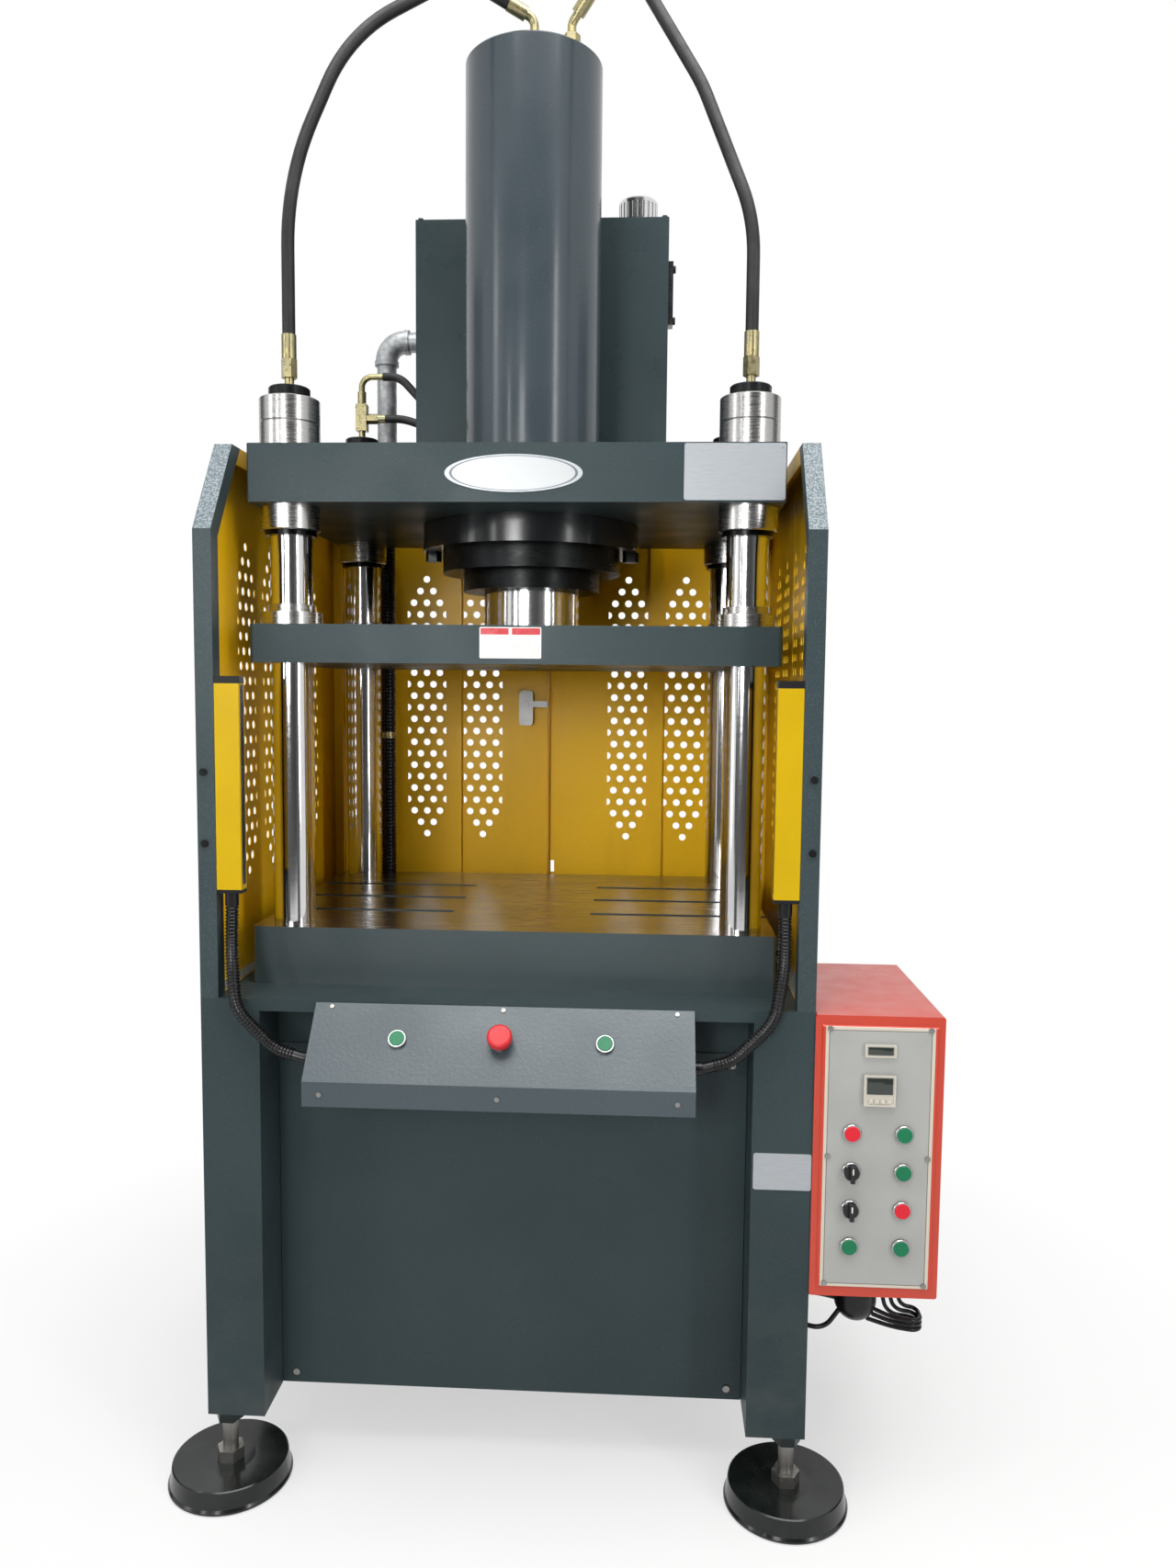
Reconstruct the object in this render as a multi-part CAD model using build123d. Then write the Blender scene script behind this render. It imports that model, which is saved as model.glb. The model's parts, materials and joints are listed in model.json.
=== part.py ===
from build123d import *
import math
import os

# Four-column hydraulic press, in millimetres, Z up.
# It is drawn round the cylinder's axis, and keep() then sets the origin on the
# floor under the middle of the whole machine.
# Main plates and heights
plate_w = 900.0
plate_d = 610.0
bed_t = 100.0
slide_t = 65.0
crown_t = 97.0
daylight = 455.0
slide_to_crown = 203.0
base_w = 1008.0
base_d = 810.0
leg_h = 132.0
base_body_h = 723.0
top_sheet = 20.0
post_w = 98.0
post_wall = 6.0
skin = 3.0
sheet = 2.0
edge_break = 2.0
press_stroke = 400.0

# Heights that follow
base_top = leg_h + base_body_h
bed_top = base_top + bed_t
slide_bottom = bed_top + daylight
slide_top = slide_bottom + slide_t
crown_bottom = slide_top + slide_to_crown
crown_top = crown_bottom + crown_t
half_w = base_w / 2
half_d = base_d / 2
front_y = -half_d

# Clearances
slide_fit = 0.05
door_gap = 1.0
body_gap = 0.3
button_fit = 0.06

# Columns and their nuts
col_x = 393.0
col_y = 248.0
col_d = 72.0
spigot_d = 60.0
oil_bore_d = 14.0
nut_d = 102.0
nut_h = 41.5
low_nut_h = 50.0
collar_d = 100.0
collar_h = 43.0
ring_d = 88.0
ring_h = 8.0
cap_d = 70.0
cap_h_front = 20.0
cap_h_rear = 42.0
column_low = base_top - low_nut_h - 10.0
column_high = crown_top + 2 * nut_h

# Guide bushes on the slide
bush_flange_d = 105.0
bush_flange_h = 22.0
bush_body_d = 90.0
bush_wiper_h = 13.0
bush_wiper_d = 80.0

# Cylinder
cyl_od = 256.0
cyl_bore = 200.0
cyl_top = crown_top + 750.0
cyl_head_t = 45.0
flange_d = 413.0
flange_h = 50.0
gland_d = 340.0
gland_h = 40.0
wiper_d = 261.0
wiper_h = 34.0
rod_d = 182.0
piston_h = 70.0
piston_d = cyl_bore - 2 * slide_fit
bolt_circle = 382.0
gland_low = crown_bottom - flange_h - gland_h - wiper_h

# Oil tank behind the cylinder
tank_w = 516.0
tank_y0 = 160.0
tank_d = 230.0
tank_h = 540.0
tank_wall = 3.0
lid_t = 5.0
tank_top = crown_top + tank_h
lid_top = tank_top + lid_t
filler_x = 195.0
filler_y = 215.0
filler_d = 80.0
filler_h = 50.0
neck_d = 52.0
neck_h = 18.0

# Filling and suction pipes beside the tank
pipe_x = -358.0
pipe_y = 332.0
pipe_d = 42.4
pipe_turn_z = tank_top - 187.0
pipe_turn_r = 40.0
pipe_low = crown_top + 75.0
suction_d = 31.0

# Hoses and their fittings
hose_d = 22.0
fit_hex = 24.0
ferrule_d = 25.0
tube_d = 16.0
port_hex = 27.0
port_nut_h = 16.0

# Guards and doors
flange_w = 30.0
lip_w = 30.0
guard_top = 1773.0
guard_slant_y = 100.0
guard_slant_z = 153.0
field_pitch = 30.0
field_rows = 23
hole_d = 15.5
field_gap = 131.0
row_pitch = field_pitch * 0.892
field_mid_z = (base_top + crown_top) / 2 + 10.0
guard_field_shift = 27.0
door_field_shift = 14.0
field_half_w = 1.5 * field_pitch
door_low = base_top + 5.0
door_high = guard_top - 3.0
hinge_d = 12.0
pin_d = 6.0
knuckle_h = 22.0
hinge_x = half_w - flange_w - 0.5
hinge_y = half_d + hinge_d / 2

# Light curtains
curtain_w = 42.0
curtain_d = 26.0
curtain_low = base_top + 175.0
curtain_h = 355.0
conduit_d = 18.0

# Console
console_w = 620.0
console_top = base_top - 3.0
console_front = front_y - 85.0
console_slope_low = console_top - 104.0
console_low = console_slope_low - 40.0
console_back = front_y + post_w - sheet - 2.0
console_start = front_y
button_d = 30.0
cap_button_d = 25.0
plunger_d = 18.0
stop_d = 40.0
green_x = 167.0
button_along = 61.0

# Control box
box_w = 206.0
box_h = 468.0
box_d = 350.0
box_wall = 2.0
box_x0 = half_w
box_top = base_top - 3.0
box_y0 = front_y - 3.0
panel_w = 186.0
panel_h = 436.0
panel_t = 3.0
rim_w = 6.0
box_mid = box_x0 + box_w / 2
panel_mid_z = box_top - box_h / 2
row_x = 41.5
row_z0 = box_top - 192.0
row_step = 63.0

# Feet
foot_x = 478.0
foot_y = 372.0
pad_d = 208.0
pad_h = 38.0
stud_d = 27.0
stud_hex = 41.0
hex_h = 20.0
foot_nut_h = 24.0
foot_plate_t = 12.0

os.makedirs("parts", exist_ok=True)
MID = Align.CENTER
LOW = Align.MIN


def block(x0, x1, y0, y1, z0, z1):
    centre = Pos((x0 + x1) / 2, (y0 + y1) / 2, (z0 + z1) / 2)
    return centre * Box(abs(x1 - x0), abs(y1 - y0), abs(z1 - z0))


def drum(x, y, z, d, h):
    return Pos(x, y, z) * Cylinder(d / 2, h, align=(MID, MID, LOW))


def ring(x, y, z, d, bore, h):
    return drum(x, y, z, d, h) - drum(x, y, z, bore, h)


def hex_block(x, y, z, flats, h, bore=0.0):
    body = extrude(RegularPolygon(flats / 2, 6, major_radius=False), h)
    if bore > 0:
        body -= Cylinder(bore / 2, h, align=(MID, MID, LOW))
    return Pos(x, y, z) * body


def soften(solid, edges, size):
    # a broken edge, left sharp where the corner is too small to take it
    try:
        return chamfer(edges, size)
    except Exception:
        return solid


def prism_x(points, x0, x1):
    # a side view given as (y, z) points, drawn out along X
    face = Plane.YZ * make_face(Polyline(*points, close=True))
    return Pos(x0, 0, 0) * extrude(face, x1 - x0)


def tube(points, radii, d, bore=0.0):
    path = FilletPolyline(*points, radius=radii)
    start = Plane(origin=path @ 0, z_dir=path % 0)
    section = start * Circle(d / 2)
    body = sweep(section, path=path)
    if bore > 0:
        body -= sweep(start * Circle(bore / 2), path=path)
    return body, path.length


def corners(x, y):
    return [(-x, -y), (x, -y), (-x, y), (x, y)]


mid_x = (box_x0 + box_w - foot_x - pad_d / 2) / 2
mid_y = (foot_y + pad_d / 2 + console_front - 2.0) / 2


def keep(name, shape):
    shape = Compound(children=[s.moved(Pos(-mid_x, -mid_y, 0)) for s in shape.solids()])
    export_step(shape, "parts/" + name + ".step")
    solids = shape.solids()
    print(name, "solids", len(solids), "volume", round(sum(s.volume for s in solids)))


def group(shapes):
    return Compound(children=list(shapes))


# Base: four square posts, top sheet, skins, rails and floor pan
posts = []
for px, py in corners(half_w - post_w / 2, half_d - post_w / 2):
    outer = block(px - post_w / 2, px + post_w / 2, py - post_w / 2, py + post_w / 2,
                  leg_h, base_top - top_sheet)
    inner_w = post_w / 2 - post_wall
    inner = block(px - inner_w, px + inner_w, py - inner_w, py + inner_w,
                  leg_h + foot_plate_t, base_top - top_sheet)
    posts.append(outer - inner)
base_frame = posts[0] + posts[1] + posts[2] + posts[3]
top = block(-half_w, half_w, -half_d, half_d, base_top - top_sheet, base_top)
for px, py in corners(col_x, col_y):
    top -= drum(px, py, base_top - top_sheet, nut_d + 10.0, top_sheet)
top -= drum(pipe_x, pipe_y, base_top - top_sheet, suction_d + 5.0, top_sheet)
base_frame += top
pan_low = leg_h + 18.0
pan_t = 4.0
pan_top = pan_low + pan_t
skin_y = half_d - post_w
for side in (-1, 1):
    base_frame += block(side * (half_w - skin), side * half_w, -skin_y, skin_y,
                        pan_low, base_top - top_sheet)
rear_skin = block(-(half_w - post_w), half_w - post_w, half_d - skin, half_d,
                  pan_low, base_top - top_sheet)
for i in range(8):
    slot_z = base_top - 295.0 + 25.0 * i
    rear_skin -= block(-150.0, 150.0, half_d - skin, half_d, slot_z, slot_z + 8.0)
base_frame += rear_skin
rail = 40.0
rail_y0 = front_y + post_w
cover_low = leg_h + 2.0
cover_high = base_top - 103.0
for rz in (cover_low + rail / 2, cover_high - rail / 2):
    base_frame += block(-(half_w - skin), half_w - skin, rail_y0, rail_y0 + rail,
                        rz - rail / 2, rz + rail / 2)
base_frame += block(-(half_w - skin), half_w - skin, rail_y0, rail_y0 + skin, cover_high, base_top - top_sheet)
base_frame += block(-(half_w - skin), half_w - skin, rail_y0 + 5.0, half_d - skin, pan_low, pan_top)
for px, py in corners(foot_x, foot_y):
    base_frame -= drum(px, py, leg_h, stud_d, pan_top - leg_h)
wire_y = front_y + 60.0
wire_z = leg_h + 198.0
wire_hole = 36.0
wire_rise = 22.0
post_in = half_w - post_wall
for dz in (-wire_rise, wire_rise):
    cut = Pos(post_in, wire_y, wire_z + dz) * Rot(0, 90, 0) * Cylinder(wire_hole / 2, 2 * post_wall + 2.0)
    base_frame -= cut
base_frame -= block(post_in - 2.0, half_w + 2.0, wire_y - wire_hole / 2, wire_y + wire_hole / 2,
                    wire_z - wire_rise, wire_z + wire_rise)
keep("base_frame", base_frame)

# Front cover: flat sheet between the front posts, screwed on the rails
cover_half = half_w - post_w - 1.0
front_cover = block(-cover_half, cover_half, rail_y0 - sheet, rail_y0, cover_low, cover_high)
cover_screws = []
for sx in (-cover_half + 25.0, cover_half - 25.0):
    for sz in (cover_low + rail / 2, cover_high - rail / 2):
        head = Pos(sx, rail_y0 - sheet, sz) * Rot(90, 0, 0) * Cylinder(6.0, 3.0, align=(MID, MID, LOW))
        cover_screws.append(head)
keep("front_cover", front_cover)

# Feet: domed rubber pads, levelling screws with a hexagon, lock nuts
pads = []
screws = []
nuts = []
for px, py in corners(foot_x, foot_y):
    r = pad_d / 2
    profile = Polyline(
        (0, 0), (r - 3.0, 0), (r, 3.0), (r, 6.0), (r - 3.0, 10.0), (r - 7.0, pad_h - 1.5),
        (r - 9.0, pad_h), (stud_hex, pad_h - 3.0), (0, pad_h - 3.0),
        close=True,
    )
    pads.append(Pos(px, py, 0) * revolve(Plane.XZ * make_face(profile), Axis.Z))
    screw = hex_block(px, py, pad_h - 3.0, stud_hex, hex_h)
    screw += drum(px, py, pad_h - 3.0 + hex_h, stud_d - 1.0, leg_h + 40.0 - pad_h - hex_h)
    screws.append(screw)
    nuts.append(hex_block(px, py, leg_h - foot_nut_h, stud_hex, foot_nut_h, stud_d - 1.0))
keep("foot_pads", group(pads))
keep("levelling_screws", group(screws + nuts))

# Bed plate with three T-slots let in from each side
bed = block(-plate_w / 2, plate_w / 2, -plate_d / 2, plate_d / 2, base_top, bed_top)
bed = soften(bed, bed.edges().filter_by(Axis.Z), 4.0)
slot_w = 18.0
slot_step = 140.0
slot_in = 135.0
tee_w = 30.0
tee_h = 13.0
slot_depth = 36.0
for side in (-1, 1):
    for row in (-1, 0, 1):
        y = row * slot_step
        bed -= block(side * slot_in, side * plate_w / 2, y - slot_w / 2, y + slot_w / 2,
                     bed_top - slot_depth + tee_h, bed_top)
        bed -= drum(side * slot_in, y, bed_top - slot_depth + tee_h, slot_w, slot_depth - tee_h)
        bed -= block(side * slot_in, side * plate_w / 2, y - tee_w / 2, y + tee_w / 2,
                     bed_top - slot_depth, bed_top - slot_depth + tee_h)
for px, py in corners(col_x, col_y):
    bed -= drum(px, py, base_top, spigot_d, bed_t)
keep("bed_plate", bed)

# Columns: ground bars with a narrower spigot at each end and an oil way
columns = []
for px, py in corners(col_x, col_y):
    bar = drum(px, py, bed_top, col_d, crown_bottom - bed_top)
    bar += drum(px, py, column_low, spigot_d, bed_top - column_low)
    bar += drum(px, py, crown_bottom, spigot_d, column_high - crown_bottom)
    bar -= drum(px, py, column_low, oil_bore_d, column_high - column_low)
    columns.append(bar)
keep("guide_columns", group(columns))

# Round column nuts: two stacked above the crown, one under the bed
round_nuts = []
for px, py in corners(col_x, col_y):
    for z, h in ((base_top - low_nut_h, low_nut_h), (crown_top, nut_h), (crown_top + nut_h, nut_h)):
        nut = ring(px, py, z, nut_d, spigot_d, h)
        outer_edges = nut.edges().filter_by(GeomType.CIRCLE).sort_by(SortBy.RADIUS)[-2:]
        round_nuts.append(chamfer(outer_edges, 1.5))
keep("column_nuts", group(round_nuts))

# Collars under the crown, with a thin dark ring below each
collars = []
rings = []
for px, py in corners(col_x, col_y):
    collar = ring(px, py, crown_bottom - collar_h, collar_d, col_d, collar_h)
    low_edge = collar.edges().filter_by(GeomType.CIRCLE).sort_by(SortBy.RADIUS)[-2:].sort_by(Axis.Z)[0]
    collars.append(chamfer(low_edge, 2.0))
    rings.append(ring(px, py, crown_bottom - collar_h - ring_h, ring_d, col_d, ring_h))
keep("column_collars", group(collars + rings))

# Caps on the column ends: low ones in front, tall ones behind
caps = []
for px, py in corners(col_x, col_y):
    h = cap_h_front if py < 0 else cap_h_rear
    cap = ring(px, py, column_high, cap_d, oil_bore_d, h)
    top_edge = cap.edges().filter_by(GeomType.CIRCLE).sort_by(SortBy.RADIUS)[-2:].sort_by(Axis.Z)[-1]
    cap = chamfer(top_edge, 2.0)
    if px > 0 and py > 0:
        cap += drum(px, py, column_high, oil_bore_d, h)
    caps.append(cap)
keep("column_caps", group(caps))

# Crown plate, bored for the columns and for the cylinder
crown = block(-plate_w / 2, plate_w / 2, -plate_d / 2, plate_d / 2, crown_bottom, crown_top)
crown = soften(crown, crown.edges().filter_by(Axis.Z), 3.0)
for px, py in corners(col_x, col_y):
    crown -= drum(px, py, crown_bottom, spigot_d, crown_t)
crown -= drum(0, 0, crown_bottom, cyl_od, crown_t)
bolt_angles = (0, 60, 120, 180)
bolt_d = 20.0
for a in bolt_angles:
    bx = bolt_circle / 2 * math.cos(math.radians(a))
    by = bolt_circle / 2 * math.sin(math.radians(a))
    crown -= drum(bx, by, crown_bottom, bolt_d, 60.0)
keep("crown_plate", crown)

# Slide plate, rounded at its upright corners, with a seat for the rod
slide = block(-plate_w / 2, plate_w / 2, -plate_d / 2, plate_d / 2, slide_bottom, slide_top)
slide = fillet(slide.edges().filter_by(Axis.Z), 8.0)
for px, py in corners(col_x, col_y):
    slide -= drum(px, py, slide_bottom, bush_body_d, slide_t)
spigot_rod_d = 120.0
spigot_rod_h = 25.0
slide -= drum(0, 0, slide_top - spigot_rod_h, spigot_rod_d, spigot_rod_h)
slide -= drum(0, 0, slide_bottom, 24.0, slide_t)
slide -= drum(0, 0, slide_bottom, 40.0, 20.0)
keep("slide_plate", slide)

# Flanged guide bushes, wiper rings and their cap screws
bushes = []
wipers = []
bush_screws = []
for px, py in corners(col_x, col_y):
    bush = drum(px, py, slide_bottom, bush_body_d, slide_t)
    bush += drum(px, py, slide_top, bush_flange_d, bush_flange_h)
    bush -= drum(px, py, slide_bottom, col_d + 2 * slide_fit, slide_t + bush_flange_h)
    for k in range(4):
        a = math.radians(45 + 90 * k)
        r = (bush_body_d + col_d) / 4 + 6.0
        sx = px + r * math.cos(a)
        sy = py + r * math.sin(a)
        bush -= drum(sx, sy, slide_top + bush_flange_h - 6.0, 8.0, 6.0)
        bush_screws.append(drum(sx, sy, slide_top + bush_flange_h - 6.0, 7.6, 5.0))
    bushes.append(bush)
    wipers.append(ring(px, py, slide_top + bush_flange_h, bush_wiper_d, col_d + 0.2, bush_wiper_h))
keep("guide_bushes", group(bushes + wipers))

# Ram: rod and piston in one piece, with a spigot in the slide and a clamping bolt
rod_high = cyl_top - cyl_head_t - piston_h - 10.0
ram = drum(0, 0, slide_top, rod_d, rod_high - slide_top)
ram += drum(0, 0, slide_top - spigot_rod_h, spigot_rod_d, spigot_rod_h)
ram += drum(0, 0, rod_high, piston_d, piston_h)
bolt_in = 30.0
ram -= drum(0, 0, slide_top - spigot_rod_h, 24.0, bolt_in + 4.0)
seal_w = 8.0
seal_in = 7.0
seal_z = (rod_high + 14.0, rod_high + 40.0)
for z in seal_z:
    ram -= ring(0, 0, z, piston_d + 1.0, piston_d - 2 * seal_in, seal_w)
seals = []
for z in seal_z:
    seals.append(ring(0, 0, z, piston_d, piston_d - 2 * seal_in, seal_w))
keep("ram", group([ram] + seals))
ram_bolt = drum(0, 0, slide_bottom + 4.0, 36.0, 16.0)
ram_bolt += drum(0, 0, slide_bottom + 20.0, 24.0, slide_t - spigot_rod_h - 20.0 + bolt_in)
keep("slide_screws", group([ram_bolt] + bush_screws))

# Cylinder body: barrel, closed head and the flange under the crown
body = drum(0, 0, crown_bottom - flange_h, cyl_od, cyl_top - crown_bottom + flange_h)
body = chamfer(body.edges().filter_by(GeomType.CIRCLE).sort_by(Axis.Z)[-1], 4.0)
body += drum(0, 0, crown_bottom - flange_h, flange_d, flange_h)
body -= drum(0, 0, crown_bottom - flange_h, cyl_bore, cyl_top - cyl_head_t - crown_bottom + flange_h)
port_left = (8.0, -80.0)
port_right = (75.0, -75.0)
for qx, qy in (port_left, port_right):
    body -= drum(qx, qy, cyl_top - cyl_head_t, 10.0, cyl_head_t)
for a in bolt_angles:
    bx = bolt_circle / 2 * math.cos(math.radians(a))
    by = bolt_circle / 2 * math.sin(math.radians(a))
    body -= drum(bx, by, crown_bottom - flange_h, bolt_d, flange_h)
keep("cylinder_body", body)

# Gland: two stepped black rings that close the cylinder round the rod
gland_z = crown_bottom - flange_h - gland_h
gland = drum(0, 0, gland_z, gland_d, gland_h)
gland += drum(0, 0, gland_z - wiper_h, wiper_d, wiper_h)
gland -= drum(0, 0, gland_z - wiper_h, rod_d + 2 * slide_fit, gland_h + wiper_h)
keep("cylinder_gland", gland)

# Hexagon bolts that hold the flange to the crown
bolts = []
head_h = 15.0
for a in bolt_angles:
    bx = bolt_circle / 2 * math.cos(math.radians(a))
    by = bolt_circle / 2 * math.sin(math.radians(a))
    bolt = hex_block(bx, by, crown_bottom - flange_h - head_h, 27.0, head_h)
    bolt += drum(bx, by, crown_bottom - flange_h, bolt_d, flange_h + 55.0)
    bolts.append(bolt)
keep("flange_bolts", group(bolts))

# Oil tank: welded sheet box that stands on the crown, open under its lid
tx = tank_w / 2
ty1 = tank_y0 + tank_d
tank = block(-tx, tx, tank_y0, ty1, crown_top, tank_top)
tank -= block(-tx + tank_wall, tx - tank_wall, tank_y0 + tank_wall, ty1 - tank_wall,
              crown_top + tank_wall, tank_top)
rim = 18.0
tank += block(-tx, tx, tank_y0, ty1, tank_top - 4.0, tank_top) - block(
    -tx + rim, tx - rim, tank_y0 + rim, ty1 - rim, tank_top - 4.0, tank_top)
stub = Pos(-tx, pipe_y, pipe_turn_z) * Rot(0, 90, 0) * Cylinder(pipe_d / 2 - 3.0, 20.0)
tank -= stub
keep("oil_tank", tank)

# Tank lid with its hexagon screws and the filler neck
lid = block(-tx, tx, tank_y0, ty1, tank_top, lid_top)
lid += ring(filler_x, filler_y, lid_top, neck_d, neck_d - 8.0, neck_h)
lid -= drum(filler_x, filler_y, tank_top, neck_d - 8.0, lid_t)
lid_parts = [lid]
for sx in (-tx + 9.0, 0.0, tx - 9.0):
    for sy in (tank_y0 + 9.0, ty1 - 9.0):
        lid_parts.append(hex_block(sx, sy, lid_top, 10.0, 5.0))
keep("tank_lid", group(lid_parts))

# Filler cap: knurled cup that screws over the neck
cap_bore = neck_d + 0.1
filler = drum(filler_x, filler_y, lid_top + 0.1, filler_d, filler_h)
filler = chamfer(filler.edges().filter_by(GeomType.CIRCLE).sort_by(Axis.Z)[-1], 4.0)
for k in range(24):
    a = math.radians(15 * k)
    gx = filler_x + (filler_d / 2 + 1.0) * math.cos(a)
    gy = filler_y + (filler_d / 2 + 1.0) * math.sin(a)
    filler -= drum(gx, gy, lid_top + 8.0, 5.0, filler_h - 18.0)
filler -= drum(filler_x, filler_y, lid_top + 0.1, cap_bore, neck_h + 0.2)
keep("filler_cap", filler)

# Level gauge on the right side of the tank
gauge_y0 = 172.0
gauge_y1 = 200.0
gauge_low = tank_top - 203.0
gauge_high = tank_top - 77.0
gauge = block(tx, tx + 10.0, gauge_y0, gauge_y1, gauge_low, gauge_high)
gauge -= block(tx + 4.0, tx + 10.0, gauge_y0 + 8.0, gauge_y1 - 8.0, gauge_low + 24.0, gauge_high - 24.0)
gauge_parts = [gauge]
for z in (gauge_low + 12.0, gauge_high - 12.0):
    gauge_parts.append(Pos(tx + 10.0, (gauge_y0 + gauge_y1) / 2, z) * Rot(0, 90, 0) * extrude(
        RegularPolygon(8.0, 6), 5.0))
keep("level_gauge", group(gauge_parts))

# Grey pipe: stub from the tank, elbow with beads, and the upright
pipe_pts = [(-tx, pipe_y, pipe_turn_z), (pipe_x, pipe_y, pipe_turn_z), (pipe_x, pipe_y, pipe_low)]
pipe, pipe_len = tube(pipe_pts, [pipe_turn_r], pipe_d, pipe_d - 6.4)
bead_d = pipe_d + 10.0
elbow_pts = [(pipe_x + pipe_turn_r + 12.0, pipe_y, pipe_turn_z), (pipe_x, pipe_y, pipe_turn_z),
             (pipe_x, pipe_y, pipe_turn_z - pipe_turn_r - 12.0)]
elbow, elbow_len = tube(elbow_pts, [pipe_turn_r], pipe_d + 6.0, pipe_d)
bead_a = Pos(pipe_x + pipe_turn_r + 6.0, pipe_y, pipe_turn_z) * Rot(0, 90, 0) * (
    Cylinder(bead_d / 2, 10.0) - Cylinder(pipe_d / 2, 10.0))
bead_b = Pos(pipe_x, pipe_y, pipe_turn_z - pipe_turn_r - 6.0) * (
    Cylinder(bead_d / 2, 10.0) - Cylinder(pipe_d / 2, 10.0))
elbow = elbow + bead_a + bead_b
keep("filling_pipe", group([pipe, elbow]))
print("filling pipe length", round(pipe_len))

# Suction hose: down behind the bed into the base and on to the pump, with clips
pump_z = leg_h + 142.0
pump_y = 100.0
pump_x0 = -200.0
suction_pts = [(pipe_x, pipe_y, pipe_low), (pipe_x, pipe_y, pump_z), (pipe_x, pump_y, pump_z),
               (pump_x0 - 30.0, pump_y, pump_z)]
suction, suction_len = tube(suction_pts, [110.0, 55.0], suction_d, suction_d - 8.0)
sleeve = ring(pipe_x, pipe_y, pipe_low - 30.0, pipe_d, suction_d, 30.0)
clip = ring(pipe_x, pipe_y, base_top + 401.0, suction_d + 5.0, suction_d, 14.0)
inlet = Pos(pump_x0 - 30.0, pump_y, pump_z) * Rot(0, 90, 0) * (
    Cylinder(18.0, 30.0, align=(MID, MID, LOW)) - Cylinder(9.0, 30.0, align=(MID, MID, LOW)))
keep("suction_hose", suction)
print("suction hose length", round(suction_len))

# The two arching pressure hoses, from the front columns to the cylinder head
fit_low = column_high + cap_h_front
hex_low = fit_low + 17.0
ferrule_low = hex_low + 31.0
hose_low = ferrule_low + 41.0
elbow_turn_r = 18.0
neck_len = 17.0
ferrule_len = 35.0


def arch(start, port, turn_z, mids, radii):
    # mids are (way along the plan line, height); the last run meets the elbow
    dx = port[0] - start[0]
    dy = port[1] - start[1]
    way = math.hypot(dx, dy)
    ux = dx / way
    uy = dy / way
    last = mids[-1]
    back = math.hypot(way - last[0], turn_z - last[1])
    share = (neck_len + ferrule_len) / back
    end = (way + (last[0] - way) * share, turn_z + (last[1] - turn_z) * share)
    mid_share = neck_len / back
    joint = (way + (last[0] - way) * mid_share, turn_z + (last[1] - turn_z) * mid_share)

    def place(p):
        return (start[0] + ux * p[0], start[1] + uy * p[0], p[1])

    route = [(start[0], start[1], hose_low)] + [place(p) for p in mids] + [place(end)]
    hose, length = tube(route, radii, hose_d)
    bend_pts = [(port[0], port[1], cyl_top + port_nut_h), place((way, turn_z)), place(joint)]
    bend, bend_len = tube(bend_pts, [elbow_turn_r], tube_d)
    a = Vector(*place(joint))
    b = Vector(*place(end))
    ferrule = Plane(origin=a, z_dir=b - a) * Cylinder(ferrule_d / 2, (b - a).length, align=(MID, MID, LOW))
    nut = hex_block(port[0], port[1], cyl_top, port_hex, port_nut_h)
    return hose, length, [nut, bend, ferrule]


left_start = (-col_x, -col_y)
right_start = (col_x, -col_y)
left_mids = [(0.0, cyl_top - 300.0), (105.0, cyl_top - 47.0), (300.0, cyl_top + 90.0)]
right_mids = [(0.0, cyl_top - 375.0), (100.0, cyl_top - 135.0), (262.0, cyl_top + 137.0)]
hose_a, len_a, fits_a = arch(left_start, port_left, cyl_top + 42.0, left_mids, [560.0, 330.0, 100.0])
hose_b, len_b, fits_b = arch(right_start, port_right, cyl_top + 37.0, right_mids, [300.0, 400.0, 66.0])
keep("pressure_hoses", group([hose_a, hose_b]))
print("pressure hose lengths", round(len_a), round(len_b))
fittings = fits_a + fits_b
for sx in (-col_x, col_x):
    stem = drum(sx, -col_y, fit_low, tube_d, hex_low - fit_low)
    stem += hex_block(sx, -col_y, hex_low, fit_hex, ferrule_low - hex_low)
    stem += drum(sx, -col_y, ferrule_low, ferrule_d, hose_low - ferrule_low)
    fittings.append(stem)

# Tee on the rear left column and its two short hoses to the tank
tee_low = column_high + cap_h_rear
tee_z0 = tee_low + 18.0
tee_z1 = tee_z0 + 56.0
port_z = tee_z0 + 26.0
tee_x = -col_x
tee = drum(tee_x, col_y, tee_low, 14.0, 18.0)
tee += Pos(tee_x, col_y, (tee_z0 + tee_z1) / 2) * Box(23.0, 23.0, tee_z1 - tee_z0)
tee += Pos(tee_x + 11.0, col_y, port_z) * Rot(0, 90, 0) * extrude(RegularPolygon(11.0, 6), 24.0)
tee += Pos(tee_x + 35.0, col_y, port_z) * Rot(0, 90, 0) * Cylinder(9.0, 16.0, align=(MID, MID, LOW))
tee += drum(tee_x, col_y, tee_z1, 18.0, 26.0)
bend_z = tee_z1 + 58.0
joint_x = tee_x + 46.0
bend_tube, bend_tube_len = tube(
    [(tee_x, col_y, tee_z1 + 26.0), (tee_x, col_y, bend_z), (joint_x, col_y, bend_z)], [22.0], 13.0)
tee_hose_d = 17.0
low_hose, low_len = tube(
    [(tee_x + 51.0, col_y, port_z), (tee_x + 90.0, col_y, port_z), (20.0 - tx, col_y, port_z - 22.0)],
    [120.0], tee_hose_d)
up_hose, up_len = tube(
    [(joint_x, col_y, bend_z), (joint_x + 36.0, col_y, bend_z), (20.0 - tx, col_y, bend_z - 78.0)],
    [48.0], tee_hose_d)
flush = block(-tx, 0, 0, ty1, crown_top, tank_top)
low_hose -= flush
up_hose -= flush
fittings += [tee, bend_tube, sleeve, clip, inlet]
keep("tee_hoses", group([low_hose, up_hose]))
print("tee hose lengths", round(low_len), round(up_len))

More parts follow.
